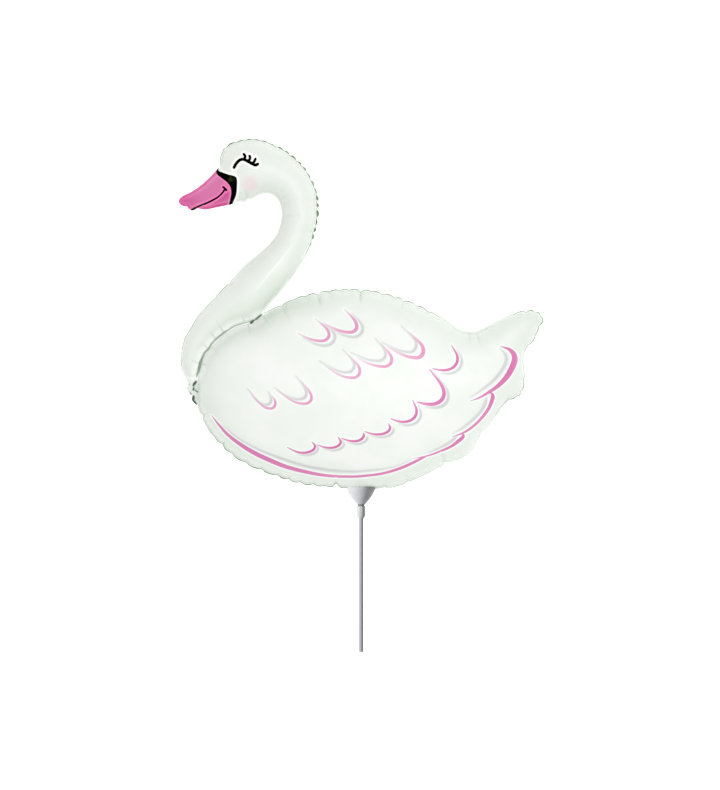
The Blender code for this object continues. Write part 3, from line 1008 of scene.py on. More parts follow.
@dataclass
class Seam:
    """One chamber's sealed line, gathered into scallops and puckers.

    The knots run clockwise.  Each notch between two scallops is the root of a
    small fold that runs into the film.
    """

    knots: Sequence[Point]
    pitch: float
    depth: float
    seed: int
    weld: Array
    puckers: Sequence[Spot]
    folds: Sequence[tuple[float, float, float, float, float]]
    rim: Sequence[Spot]
    step: float = 1.15
    sharpness: float = 0.85
    quiet: float = 7.0
    calm_spot: Spot = (-160.0, 290.0, 28.0)  # the bill, which is drawn tight
    length: float = field(init=False)
    line: Array = field(init=False)  # the seam before it is gathered
    out: Array = field(init=False)
    drawn_in: Array = field(init=False)
    share: Array = field(init=False)  # how far along its own scallop each point lies
    notches: Array = field(init=False)  # place along the seam, and depth
    roots: Array = field(init=False)  # where the long folds start along the seam

    def __post_init__(self) -> None:
        """Draws the seam and gathers it."""
        self.line = spaced(smooth(self.knots), self.step)
        self.out = outward(self.line, 2)
        self.step = float(np.linalg.norm(np.diff(self.line, axis=0), axis=1).mean())
        self.length = self.step * len(self.line)
        self.notches = self.gathered()
        places, depths = self.notches.T
        along = np.arange(len(self.line)) * self.step
        starts = np.concatenate([[places[-1] - self.length], places, [places[0] + self.length]])
        deep = np.concatenate([depths[-1:], depths, depths[:1]])
        lobe = np.clip(np.searchsorted(starts, along, side="right") - 1, 0, len(starts) - 2)
        self.share = (along - starts[lobe]) / (starts[lobe + 1] - starts[lobe])
        level = deep[lobe] * (1 - self.share) + deep[lobe + 1] * self.share
        self.drawn_in = level * (1 - np.abs(np.sin(math.pi * self.share)) ** self.sharpness)
        self.roots = self.along(np.array([(x, y) for x, y, *_ in self.folds]))

    def gathered(self) -> Array:
        """Sets the notches: one at each pucker, and others about a pitch apart between them.

        Returns:
            The place of each notch along the seam, and its depth.
        """
        rng = np.random.default_rng(self.seed)
        spots = np.array(self.puckers)
        away, places = nearest(spots[:, :2], looped(self.line))
        mine = away < 6
        order = np.argsort(places[mine])
        roots, deepest = places[mine][order] * self.step, spots[mine, 2][order]
        found = []
        for start, end, depth in zip(roots, np.append(roots[1:], roots[0] + self.length), deepest):
            count = max(round((end - start) / self.pitch), 1)
            found.append((start, depth, 0))
            found += [(start + (end - start) * (k + rng.uniform(-0.14, 0.14)) / count,
                       self.depth * rng.uniform(0.55, 1.25), 1) for k in range(1, count)]
        notches = np.array(found)
        notches[:, 0] %= self.length
        notches = notches[np.argsort(notches[:, 0])]
        at = self.line[np.round(notches[:, 0] / self.step).astype(int) % len(self.line)]
        notches[:, 1] *= np.clip(nearest(at, self.weld)[0] / self.quiet - 1, 0, 1)
        x, y, radius = self.calm_spot
        calm = eased(np.linalg.norm(at - (x, y), axis=1), 0.8 * radius, 1.2 * radius)
        lively = (0.15 + 0.85 * calm) * np.clip(2 * self.strength(notches[:, 0]) - 0.9, 0.08, 1.0)
        notches[:, 1] *= np.where(notches[:, 2] > 0, lively, 1.0)
        return notches[:, :2]

    @property
    def loop(self) -> Array:
        """The gathered seam."""
        return self.offset(0.0)

    def offset(self, distance: Any, gathered: float = 1.0) -> Array:
        """The seam moved outwards, with a share of its gathers."""
        return self.line + (distance - gathered * self.drawn_in)[:, None] * self.out

    def along(self, points: Array) -> Array:
        """The place of each point along the seam."""
        return nearest(points, looped(self.line))[1] * self.step

    def at(self, along: Array, inset: Array, aside: Array) -> Array:
        """Finds places in the film.

        Args:
            along: their place along the seam.
            inset: how far in from the seam they are.
            aside: how far aside they are, along the seam.

        Returns:
            The places, in the swan's plane.
        """
        station = np.round(along / self.step).astype(int) % len(self.line)
        out = self.out[station]
        side = np.stack([out[:, 1], -out[:, 0]], axis=1)
        return self.line[station] - inset[:, None] * out + aside[:, None] * side

    def apart(self, along: Array, place: float) -> Array:
        """How far each place along the seam is from one of them, the shorter way round."""
        return (along - place + self.length / 2) % self.length - self.length / 2

    def lobes(self, along: Array, size: float, seed: int) -> Array:
        """Gives a smooth random value along the seam.

        Args:
            along: the places.
            size: the length over which it changes.
            seed: what its random values start from.

        Returns:
            The value at each place, from -1 to 1.
        """
        rng = np.random.default_rng(seed)
        count = round(self.length / size)
        values = rng.uniform(-1, 1, count)
        place = along / self.length * count
        low = np.floor(place).astype(int)
        share = eased(place - low, 0, 1)
        return values[low % count] * (1 - share) + values[(low + 1) % count] * share

    def strength(self, along: Array) -> Array:
        """Reads how strongly the rim is gathered.

        Args:
            along: places along the seam.

        Returns:
            The strength at each place, from 0 to 1.
        """
        spots = np.array(self.rim)
        places = self.along(spots[:, :2])
        order = np.argsort(places)
        return np.interp(along, places[order], spots[order, 2], period=self.length)


@dataclass
class FoilBalloon:
    """The foil balloon: two sheets, sealed together round their edge and along one weld.

    All sizes are in millimetres.
    """

    plane: SwanPlane
    artwork: Artwork
    flange: float = 2.5  # width of the flat sealed edge outside the seam
    weld_sides: tuple[float, float] = (-0.9, 1.8)  # the neck's edge and the body's edge beside the weld
    weld_pull: float = 0.85  # how much the weld holds the film down beside it
    weld_reach: float = 7.0
    cup_half: float = 17.0  # the sealed edge stays flat this far to each side of the cup
    cup_top: float = 12.0  # and up to here
    film_half: float = 0.15
    fullness: float = 95.0
    press_softness: float = 0.8
    wall_inset: float = 1.0
    wall_rows: tuple[float, ...] = (0.02, 0.08, 0.2, 0.42, 0.7)
    rings: tuple[tuple[float, float], ...] = (
        (2.0, 1.2), (3.1, 1.3), (4.4, 1.5), (6.0, 1.7), (7.8, 1.9), (9.8, 2.2), (12.2, 2.5))
    lattice: float = 3.2
    solver_rounds: int = 4000
    solver_end: float = 1e-14  # the share of the load at which the film is at rest
    edge_wave: float = 0.5
    tuck_slant: float = 0.5
    web_crumple: float = 0.9
    pleat_reach: float = 4.5
    pleat_depth: float = 0.5
    fold_core: float = 0.85
    fold_shoulder: float = 2.3
    relief_reach: float = 34.0
    ripples: tuple[tuple[float, float, int, float], ...] = (  # depth, length along the seam, seed, reach
        (0.14, 5.5, 77, 5.0), (0.28, 15.0, 88, 12.0))
    seams: dict[Chamber, Seam] = field(init=False)

    bill_ridge = [
        (-179.9, 286), (-176.6, 289.2), (-169.3, 292.6), (-160, 298.8), (-151, 306.6), (-143.3, 314.8)]
    crown = [
        (-139.4, 320.8), (-137.7, 332.4), (-131.4, 340.7), (-116, 345.4), (-104.6, 345.4), (-93.6, 342.6),
        (-74.6, 333.2)]
    nape = [
        (-58, 317.5), (-47.2, 296.5), (-45, 281), (-46.1, 265.5), (-53.1, 241), (-68.8, 213.6),
        (-82.6, 196), (-95.8, 180.4)]
    neck_tip = [(-167, 110.8), (-171.2, 110.4), (-175.4, 114.6), (-177.8, 122.4)]
    breast = [
        (-177.8, 132.4), (-174.6, 147), (-168.9, 157), (-161.4, 169.7), (-151.2, 181), (-134.3, 199.2),
        (-124.4, 209.4)]
    throat = [
        (-116.1, 218.9), (-102.9, 230.1), (-91.5, 240.4), (-83.1, 251), (-78.8, 261.8), (-77.3, 272.3),
        (-78.4, 282), (-82.3, 290.2), (-88, 294.6), (-95.4, 295.9)]
    chin = [(-101.8, 294.4), (-107.4, 290.6), (-115.5, 287.3), (-123.5, 286.6), (-132.4, 284.5)]
    bill_under = [
        (-144.7, 282), (-155.3, 279.9), (-163.6, 281), (-169, 278.8), (-173.2, 282.6), (-177.6, 283.2)]
    weld = [
        (-100.4, 171.5), (-105, 168), (-109.1, 165.6), *[(x, y) for x, y, _ in WELD_MIDDLE], (-163.6, 113.5)]
    back = [
        (-93, 173.8), (-73, 183.4), (-55.2, 190), (-28.8, 195), (-6, 196), (13, 193.9), (36.2, 187.9),
        (59.2, 178.7), (85.3, 163.9)]
    tail = [
        (93.8, 157.4), (104.7, 153.5), (115.3, 153.6), (128.9, 159.5), (145.5, 167.8), (158.5, 173.2),
        (170.8, 174.8), (177.8, 171.8), (180.2, 167), (176, 159.6), (171.4, 148.5)]
    rump = [
        (164.5, 141), (161, 134), (160.2, 126), (161.2, 117), (161.3, 107.5), (160.4, 99), (156, 91.8),
        (147, 88.5), (139.7, 82.1)]
    belly = [
        (131.4, 70.4), (116.4, 50.5), (108.2, 37), (98.6, 30.4), (85.7, 25.8), (64.1, 14.8), (42.7, 5.2),
        (28, 1), (18, 0.6), (10, -0.4), (0, -1), (-10, -0.4), (-17, 1.3), (-33.5, 2.2), (-57, 4.8),
        (-76.4, 10.2), (-102.9, 19.7)]
    chest = [(-123.8, 30.8), (-140.3, 45.4), (-152.6, 61.8), (-160.5, 79), (-162.6, 96)]
    corner_web = [
        (-176, 112), (-174.4, 106.5), (-172.1, 103.4), (-174.3, 100), (-173.9, 96.1), (-170.7, 92.5),
        (-169, 90.7), (-169.6, 87.6), (-168, 85), (-164.5, 81.8), (-158.5, 88), (-160.5, 112)]
    filling_tail = [(-5.5, 0.5), (5.5, 0.5), (2.6, -12.5), (-2.6, -12.5)]
    puckers = [
        (-79, 180, 1.8), (-43, 193, 3), (0, 196, 3.2), (43, 187, 2.4), (67, 175, 1.8), (165.5, 173.5, 2.2),
        (173.6, 173, 2.3), (178.3, 169.8, 1.9), (177.8, 162, 1.2), (162, 106, 1), (158.4, 96, 1.9),
        (155, 91.6, 1.7), (146.8, 88.4, 1.2), (121, 54, 1.4), (84, 25, 3), (46, 6.5, 1.4), (23.5, 1.2, 1.5),
        (-25, 2.2, 5), (-83, 12, 1.8), (-98.4, 20.5, 2), (-114.5, 27, 1.5), (-138.2, 43.5, 2.4),
        (-159.5, 71, 2), (-48, 254, 2), (-112.5, 287.2, 3), (-52, 307, 1.4), (-145.8, 189, 1.4),
        (-131.5, 203.5, 1.8), (-116, 345.4, 1.4), (-133.6, 339, 1.5), (-173.3, 281, 0.5)]
    # Long folds: where each starts on the seam, how far it reaches in, its depth and how much shade is
    # painted along it.
    neck_folds = [
        (-137.1, 154.6, 9, 0.6, 0.8), (-145, 148, 8.5, 0.6, 0.85), (-116.7, 164.6, 7, 0.6, 0.7),
        (-152.4, 138.1, 10, 0.6, 0.7), (-160.7, 123.5, 14, 0.5, 0.5), (-97.6, 295.5, 8, 0.4, 0.12),
        (-80.5, 288, 13, 0.5, 0.2), (-78.5, 283, 15, 0.4, 0.18), (-77.6, 271.5, 19, 0.5, 0.2),
        (-112.5, 287.2, 4.5, 0.5, 0.45), (-172, 152, 7, 0.4, 0.15), (-87, 246, 8, 0.3, 0.05)]
    body_folds = [
        (-98, 171, 10, 0.6, 0.6), (-79, 181, 11, 0.7, 0.4), (-43, 193, 10, 0.9, 1),
        (-0.2, 196, 9.5, 0.9, 1), (43, 187, 7, 0.6, 0.4), (84, 26, 9, 0.6, 0.5), (108.5, 153, 11, 0.7, 0.5),
        (115.6, 154, 12, 0.7, 0.5), (-112.5, 161, 11, 0.7, 0.7), (-149, 139, 7, 0.6, 0.5),
        (-157, 122.5, 8, 0.6, 0.7), (-159.5, 71, 5, 0.5, 0.5), (121, 54, 7, 0.5, 0.3),
        (-138.2, 43.5, 6, 0.5, 0.4), (46, 6.5, 6, 0.5, 0.35)]
    # How strongly the metal side shows in the rim, by spots along it; above a half it is folded into tucks.
    neck_rim = [
        (-160, 299, 0), (-141, 318, 0.1), (-139.4, 324, 0.4), (-132, 340, 0.75), (-116, 345, 0.78),
        (-93, 343, 0.8), (-74.6, 333.2, 0.95), (-47.2, 296.5, 1), (-46, 266, 1), (-49.5, 250, 0.95),
        (-54.5, 238, 0.6), (-61, 226, 0.25), (-84, 194, 0.1), (-163, 113, 0), (-172, 110, 0.2),
        (-178, 124, 0.5), (-168.9, 157, 0.55), (-151.2, 181, 0.55), (-134.3, 199.2, 0.5),
        (-116, 218.9, 0.25), (-91.5, 240.4, 0.08), (-77, 272, 0.12), (-95, 296, 0.2), (-125, 286, 0)]
    body_rim = [
        (-93, 173.8, 0.45), (-60, 188.5, 0.78), (0, 196, 0.88), (36.2, 187.9, 0.92), (62, 177.5, 0.92),
        (80, 167, 0.4), (94, 157.4, 0.15), (128.9, 159.5, 0.2), (152, 170.5, 0.55), (165, 174, 0.85),
        (178, 171, 1), (171.4, 148.5, 0.88), (164, 140, 0.5), (161.2, 117, 0.3), (160.4, 99, 0.82),
        (150, 89.5, 0.95), (139, 81, 0.55), (128, 66, 0.35), (98.6, 30.4, 0.35), (64, 14.8, 0.4),
        (40, 5, 0.45), (12, 2, 0.1), (-12, 2, 0.55), (-25, 2.2, 0.88), (-57, 4.8, 0.95), (-103, 19.7, 1),
        (-131, 37, 0.88), (-148, 56, 0.48), (-160, 79, 0.15), (-162.6, 96, 0), (-137, 150, 0)]

    def __post_init__(self) -> None:
        """Draws the two seams."""
        weld = np.array(self.weld)
        neck_side, body_side = ([tuple(point) for point in beside(weld, side)] for side in self.weld_sides)
        neck = (self.bill_ridge + self.crown + self.nape + neck_side + self.neck_tip + self.breast
                + self.throat + self.chin + self.bill_under)
        body = self.back + self.tail + self.rump + self.belly + self.chest + body_side[::-1]
        self.seams = {
            chamber: Seam(knots, pitch, depth, seed, weld, self.puckers, folds, rim)
            for chamber, knots, pitch, depth, seed, folds, rim in (
                (Chamber.NECK, neck, 7.8, 1.3, 5, self.neck_folds, self.neck_rim),
                (Chamber.BODY, body, 12.0, 1.7, 9, self.body_folds, self.body_rim))}

    def in_chamber(self, places: Array) -> Array:
        """Whether each place lies inside one of the chambers."""
        return inside_any(places, [seam.loop for seam in self.seams.values()])

    def flaps(self) -> list[Array]:
        """The outlines of everything that is foil: both chambers with their edge, the web and the tail."""
        edges = [seam.offset(self.flange) for seam in self.seams.values()]
        return edges + [np.array(self.corner_web), spaced(np.array(self.filling_tail), 1.6)]

    def fold_points(self, seam: Seam) -> Array:
        """Sets points that carry long folds.

        Args:
            seam: the folds' seam.

        Returns:
            The points.
        """
        found, sides = [], (-1.9, -1.1, -0.5, 0, 0.5, 1.1, 1.9)
        for root, (_, _, reach, _, _) in zip(seam.roots, seam.folds):
            inset, aside = np.meshgrid(np.arange(1.9, 1.6 * reach, 0.95), sides)
            found.append(seam.at(np.full(inset.size, root), inset.ravel(), aside.ravel()))
        return np.vstack(found)

    def web_points(self) -> Array:
        """Points that carry the web's crumples."""
        (left, low), (right, high) = np.min(self.corner_web, axis=0), np.max(self.corner_web, axis=0)
        grid = np.array([(x, y) for x in np.arange(left, right, 1.3) for y in np.arange(low, high, 1.3)])
        return grid[inside(grid, np.array(self.corner_web))]

    def pattern(self) -> tuple[Array, Array, dict[Chamber, tuple[Array, Array]]]:
        """Cuts the flat sheet into triangles that follow the seams and the print.

        Returns:
            The points, the triangles, and for each chamber the points of its seam and of its wall's top.
        """
        walls = {chamber: seam.offset(-self.wall_inset) for chamber, seam in self.seams.items()}
        points: list[Array] = []
        edges: list[tuple[int, int]] = []

        def lay(line: Array, closed: bool = False) -> list[int]:
            """Adds a line and its edges to the sheet.

            Args:
                line: its points.
                closed: whether its last point joins its first.

            Returns:
                The numbers of its points.
            """
            first, count = sum(len(laid) for laid in points), len(line)
            points.append(line)
            edges.extend((first + i, first + (i + 1) % count) for i in range(count - (not closed)))
            return list(range(first, first + count))

        laid = {chamber: (lay(seam.loop, True), lay(walls[chamber], True))
                for chamber, seam in self.seams.items()}
        seams = [looped(seam.loop) for seam in self.seams.values()]

        def to_seam(places: Array) -> Array:
            """Distance from the nearer seam."""
            return np.min([nearest(places, seam)[0] for seam in seams], axis=0)

        def on_film(places: Array) -> Array:
            """Whether each place lies in a chamber and clear of its wall."""
            return self.in_chamber(places) & (to_seam(places) > self.wall_inset + 0.6)

        flaps = self.flaps()
        for number, flap in enumerate(flaps):
            free = ~self.in_chamber(flap) & (to_seam(flap) > 0.9)
            free &= ~inside_any(flap, flaps[:number] + flaps[number + 1:])
            for run in self.runs(flap, free):
                lay(run)
        marks_on_web = np.vstack([spaced(stroke.outline(grown), 0.8) for stroke in self.artwork.glints
                                  for grown in (-0.3, 0.2, 0.8)])
        edge_middles = [seam.offset(0.5 * self.flange) for seam in self.seams.values()]
        for line in edge_middles + [marks_on_web, self.web_points()]:
            points.append(line[inside_any(line, flaps) & ~self.in_chamber(line) & (to_seam(line) > 0.8)])

        outlines = self.artwork.outlines()
        for loop in outlines:
            for run in self.runs(loop, on_film(loop)):
                lay(run)
        printed = np.vstack(outlines)
        middles = self.artwork.middles()
        soft = self.artwork.soft_points()
        folded = np.vstack([self.fold_points(seam) for seam in self.seams.values()])
        points.append(middles[on_film(middles)])
        for extra, others, apart in ((soft, printed, 0.6), (folded, np.vstack([printed, soft]), 0.4)):
            extra = extra[on_film(extra)]
            points.append(extra[self.apart(extra, others) > apart])
        dense = np.vstack([printed, soft, middles, folded])
        for seam, closed in zip(self.seams.values(), seams):
            for inset, step in self.rings:
                ring = spaced(seam.offset(-inset, math.exp(-inset / 4)), step)
                ring = ring[inside(ring, seam.loop)]
                ring = ring[nearest(ring, closed)[0] > 0.8 * inset]
                points.append(ring[self.apart(ring, dense) > 0.8 * step])
            low, high = seam.loop.min(0), seam.loop.max(0)
            rows = np.arange(low[1], high[1], self.lattice * math.sin(math.pi / 3))
            grid = np.array([(x + (row % 2) * self.lattice / 2, y) for row, y in enumerate(rows)
                             for x in np.arange(low[0], high[0], self.lattice)])
            grid = grid[inside(grid, seam.loop)]
            grid = grid[nearest(grid, closed)[0] > self.rings[-1][0] + 0.75 * self.lattice]
            points.append(grid[self.apart(grid, dense) > 0.75 * self.lattice])
        everything = [Vector(point) for point in np.vstack(points)]
        joined = geometry.delaunay_2d_cdt(everything, edges, [], 0, 0.004, True)
        flat = np.array([tuple(point) for point in joined[0]])
        where = np.zeros(len(everything), int)
        for made, sources in enumerate(joined[3]):
            where[sources] = made
        triangles = np.array(joined[2])
        centre = flat[triangles].mean(axis=1)
        wall = self.in_chamber(centre) & ~inside_any(centre, walls.values())
        return flat, triangles[inside_any(centre, flaps) & ~wall], {
            chamber: (where[seam], where[top]) for chamber, (seam, top) in laid.items()}

    @staticmethod
    def runs(loop: Array, keep: Array) -> list[Array]:
        """Cuts a closed line where points are left out.

        Args:
            loop: the line.
            keep: whether each of its points is kept.

        Returns:
            The stretches where every point is kept.
        """
        if keep.all():
            return [looped(loop)]
        shift = int(np.argmin(keep))
        loop, keep = np.roll(loop, -shift, axis=0), np.roll(keep, -shift)
        found, current = [], []
        for point, good in zip(loop, keep):
            if good:
                current.append(point)
            elif current:
                found.append(np.array(current))
                current = []
        if current:
            found.append(np.array(current))
        return found

    @staticmethod
    def apart(points: Array, others: Array) -> Array:
        """Distance of each point from the nearest of the others."""
        parts = np.array_split(points, max(len(points) // 500, 1))
        return np.concatenate([np.sqrt(((part[:, None] - others) ** 2).sum(2).min(1)) for part in parts])

    def blown(self, flat: Array, triangles: Array, air: Array) -> Array:
        """Blows the film up.

        A soap film over each chamber gives the shape: half its squared height has
        a Laplacian of -1, so a long chamber comes out round like a tube.

        Args:
            flat: the points of the flat film.
            triangles: the triangles inside the chambers.
            air: which points are free to rise.

        Returns:
            The height of each point above the swan's plane.
        """
        corners = flat[triangles]
        firsts, seconds, weights = [], [], []
        load = np.zeros(len(flat))
        for a, b, c in ((0, 1, 2), (1, 2, 0), (2, 0, 1)):
            u, v = corners[:, a] - corners[:, c], corners[:, b] - corners[:, c]
            double_area = np.maximum(np.abs(u[:, 0] * v[:, 1] - u[:, 1] * v[:, 0]), 1e-9)
            firsts.append(triangles[:, a])
            seconds.append(triangles[:, b])
            weights.append(0.5 * (u * v).sum(1) / double_area)
            load += np.bincount(triangles[:, a], double_area / 6, len(flat))
        first, second, weight = (np.concatenate(parts) for parts in (firsts, seconds, weights))
        diagonal = np.bincount(first, weight, len(flat)) + np.bincount(second, weight, len(flat))
        free = air.astype(float)

        def pulled(film: Array) -> Array:
            """The film's stiffness times its height."""
            cross = (np.bincount(first, weight * film[second], len(flat))
                     + np.bincount(second, weight * film[first], len(flat)))
            return free * (diagonal * film - cross)

        scale = np.where(air, 1 / np.where(diagonal > 0, diagonal, 1.0), 0.0)
        film = np.zeros(len(flat))
        left = free * load
        ready = scale * left
        heading = ready.copy()
        strength = goal = left @ ready
        for _ in range(self.solver_rounds):
            pull = pulled(heading)
            step = strength / (heading @ pull)
            film += step * heading
            left -= step * pull
            ready = scale * left
            before, strength = strength, left @ ready
            if strength < goal * self.solver_end:
                break
            heading = ready + strength / before * heading
        full = np.sqrt(2 * np.maximum(film, 0))
        return full / np.sqrt(1 + (full / self.fullness) ** 2)

    def build(self, effects: Effects) -> Object:
        """Makes the balloon.

        Args:
            effects: the shared shader groups.

        Returns:
            The finished object.
        """
        flat, triangles, rings = self.pattern()
        extra, extra_level, extra_top = [], [], []
        quads, film = [], [triangles]
        count = len(flat)
        for ring, top in rings.values():
            rows = [ring]
            for share in self.wall_rows:
                rows.append(np.arange(count, count + len(ring)))
                extra.append(flat[ring] + share * (flat[top] - flat[ring]))
                extra_level.append(np.full(len(ring), math.sqrt(share)))
                extra_top.append(top)
                count += len(ring)
            rows.append(top)
            quads += [np.stack([lower, upper, np.roll(upper, -1), np.roll(lower, -1)], axis=1)
                      for lower, upper in zip(rows, rows[1:])]
            film += [np.stack([ring, top, np.roll(top, -1)], axis=1),
                     np.stack([ring, np.roll(top, -1), np.roll(ring, -1)], axis=1)]
        whole = np.vstack([flat] + extra)
        quads, film = np.vstack(quads), np.vstack(film)
        centre = whole[film].mean(axis=1)
        blown = self.in_chamber(centre)
        air = np.zeros(len(flat), bool)
        air[film[blown]] = True
        air[film[~blown]] = False
        for ring, _ in rings.values():
            air[ring] = False
        height = self.blown(flat, film[blown], air)
        height *= 1 - self.weld_pull * np.exp(-nearest(flat, np.array(self.weld))[0] / self.weld_reach)
        LOG.info("film: %d points, %.1f mm high", len(flat), height.max())
        height = np.concatenate([height, np.concatenate(extra_level) * height[np.concatenate(extra_top)]])
        height = np.maximum(height, self.film_half)
        return self.assembled(whole, triangles, quads, height, effects)

    def measured(self, points: Array) -> dict[str, Array]:
        """Measures each point from the seams.

        Args:
            points: places in the swan's plane.

        Returns:
            The inset from the nearer seam (negative on the edge), how much farther the other seam is,
            the place along the nearer seam, the number of its chamber, and the place itself.
        """
        away, along = [], []
        for seam in self.seams.values():
            away.append(nearest(points, looped(seam.loop))[0])
            along.append(seam.along(points))
        away, along = np.stack(away), np.stack(along)
        near = away.argmin(0)
        columns = np.arange(len(points))
        inset = np.where(self.in_chamber(points), away[near, columns], -away[near, columns])
        return {"inset": inset, "spare": away[1 - near, columns] - away[near, columns],
                "along": along[near, columns], "near": near, "point": points}

    def relief(self, facts: dict[str, Array], face: Face) -> tuple[Array, Array]:
        """How far pleats and folds push the film out of its blown shape.

        Args:
            facts: what measured() gives.
            face: which sheet.

        Returns:
            The push along the film's normal, in millimetres, and how much shade is painted along the folds.
        """
        push, shade = np.zeros(len(facts["inset"])), np.zeros(len(facts["inset"]))
        for number, seam in enumerate(self.seams.values()):
            mine = (facts["near"] == number) & (facts["inset"] > 0) & (facts["inset"] < self.relief_reach)
            rng = np.random.default_rng(31 + number + 7 * (face is Face.BACK))
            s, d = facts["along"][mine], facts["inset"][mine]
            total, dark = np.zeros(mine.sum()), np.zeros(mine.sum())
            for place, notch in seam.notches:
                near = seam.apart(s, place) / (1.3 + 0.12 * d)
                fade = np.exp(-(d / (self.pleat_reach * rng.uniform(0.6, 1.5))) ** 2) * notch / seam.depth
                total -= self.pleat_depth * fade * (np.exp(-near ** 2) - 0.42 * np.exp(-(near / 2.4) ** 2))
            for deep, length, seed, fading in self.ripples:
                total += deep * seam.lobes(s, length, seed + number) * np.exp(-d / fading)
            for root, (_, _, reach, depth, tone) in zip(seam.roots, seam.folds):
                near = np.abs(seam.apart(s, root))
                fade = 1 - eased(d, 0.3 * reach, 1.5 * reach)
                core = np.exp(-(near / self.fold_core) ** 2)
                total -= depth * fade * (0.55 * core + 0.6 * np.exp(-(near / self.fold_shoulder) ** 2))
                # how much shade is painted along the fold's core
                dark = np.maximum(dark, tone * (1 - eased(d, 0.0, 1.2 * reach)) * core)
            push[mine], shade[mine] = total * (1 - np.exp(-d / 1.3)), dark
        return push, shade

    def ruffle(self, facts: dict[str, Array]) -> Array:
        """How far the sealed edge waves out of its plane.

        Args:
            facts: what measured() gives.

        Returns:
            The height of both sheets there, in millimetres.
        """
        point = facts["point"]
        edge = np.clip(-facts["inset"] / self.flange, 0, 1) * np.clip(facts["spare"] / 3 - 1, 0, 1)
        by_cup = (np.clip((np.abs(point[:, 0]) - self.cup_half) / 8, 0, 1)
                  + np.clip((point[:, 1] - self.cup_top) / 8, 0, 1))
        wave = np.zeros(len(point))
        for number, seam in enumerate(self.seams.values()):
            mine = facts["near"] == number
            along = facts["along"][mine]
            wave[mine] = seam.lobes(along, 4.6, 51 + number) + 0.6 * seam.lobes(along, 13.0, 61 + number)
        wave *= self.edge_wave * edge * np.clip(by_cup, 0, 1)
        x, y = point.T
        in_web = inside(point, np.array(self.corner_web)) * eased(-facts["inset"], 0.8, 3.0)
        crumple = in_web * self.web_crumple * np.sin(1.25 * x + 0.5 * y)
        return wave + crumple * np.sin(0.45 * x - 0.9 * y + 1.0)

    def assembled(self, points: Array, triangles: Array, quads: Array, height: Array,
                  effects: Effects) -> Object:
        """Joins the two sheets and gives them their print.

        Args:
            points: the flat points.
            triangles: the triangles of one sheet.
            quads: the quads of its walls.
            height: each point's height.
            effects: the shared shader groups.

        Returns:
            The finished object.
        """
        used = np.unique(np.concatenate([triangles.ravel(), quads.ravel()]))
        order = np.full(len(points), -1)
        order[used] = np.arange(len(used))
        points, height = points[used], height[used]
        triangles, quads = order[triangles], order[quads]
        facts = self.measured(points)
        wave = self.ruffle(facts)
        sheets, shades = [], []
        for face in Face:
            level = height
            if face is Face.BACK:
                over = height - self.plane.up
                level = self.plane.up + 0.5 * (over - np.sqrt(over ** 2 + self.press_softness ** 2))
                level = np.where(height > self.plane.up - 12, level, height)
            sheet = np.column_stack([points, face.value * level + wave])
            normals = self.normals(sheet, triangles, quads) * face.value
            push, shade = self.relief(facts, face)
            if face is Face.BACK:
                push *= eased(self.plane.up - level, 0.5, 8.0)
            sheets.append(sheet + push[:, None] * normals)
            shades.append(shade)
        count = len(points)
        faces = triangles.tolist() + quads.tolist()
        values = self.artwork.distances(points)
        black = values[Ink.BLACK.value]
        blacked = np.concatenate([(black[part] < 0.02).all(axis=1) & (black[part].mean(axis=1) < -0.05)
                                  for part in (triangles, quads)])
        faces += [[i + count for i in row[::-1]] for row in faces]
        directed = np.concatenate([np.stack([part, np.roll(part, -1, axis=1)], axis=2).reshape(-1, 2)
                                   for part in (triangles, quads)])
        known = set(map(tuple, directed.tolist()))
        rim = [(a, b) for a, b in known if (b, a) not in known]
        faces += [[b, a, a + count, b + count] for a, b in sorted(rim)]
        mesh = bpy.data.meshes.new("foil_skin")
        mesh.from_pydata(self.plane.place(np.vstack(sheets)).tolist(), [], faces)
        values = {name: np.tile(value, 2) for name, value in (values | self.edge_marks(facts, rim)).items()}
        values["fold_shade"] = np.concatenate(shades)
        for name, value in values.items():
            layer = mesh.attributes.new(name, "FLOAT", "POINT")
            layer.data.foreach_set("value", value.astype(np.float32))
        for finish in (PrintedFoil(), BlackInk()):
            mesh.materials.append(finish.material(effects))
        slots = np.zeros(len(faces), np.int32)
        slots[:2 * len(blacked)] = np.tile(blacked, 2)
        mesh.polygons.foreach_set("material_index", slots)
        mesh.validate()
        mesh.update()
        return shaded(linked(bpy.data.objects.new("foil_skin", mesh)), 60)

    def edge_marks(self, facts: dict[str, Array], rim: Iterable[tuple[int, int]]) -> dict[str, Array]:
        """The attributes that the finish reads along the seams and the rim.

        Args:
            facts: what measured() gives.
            rim: the rim's edges, as pairs of point numbers.

        Returns:
            Each attribute's value at each point.
        """
        points, inset, near = facts["point"], facts["inset"], facts["near"]
        marks = {"seam_inset": inset, "on_neck": (near == 0).astype(float)}
        strengths = np.zeros((2, len(points)))
        for number, seam in enumerate(self.seams.values()):
            mine = near == number
            along = facts["along"][mine]
            shown = np.clip(1.9 * (seam.strength(along) - 0.12), 0, 1)
            patchy = 0.5 + 0.5 * seam.lobes(along, 7.0, 21 + number)
            strengths[:, mine] = 0.04 + 0.08 * patchy, np.clip(shown * (0.7 + 0.5 * patchy), 0, 0.95)
        marks["seam_strength"], marks["rim_strength"] = strengths
        rim_points = np.array(sorted({i for pair in rim for i in pair}))
        marks["rim_inset"] = np.full(len(points), 9.0)
        close = np.where(inset < 0.5)[0]
        marks["rim_inset"][close] = self.apart(points[close], points[rim_points])
        return marks

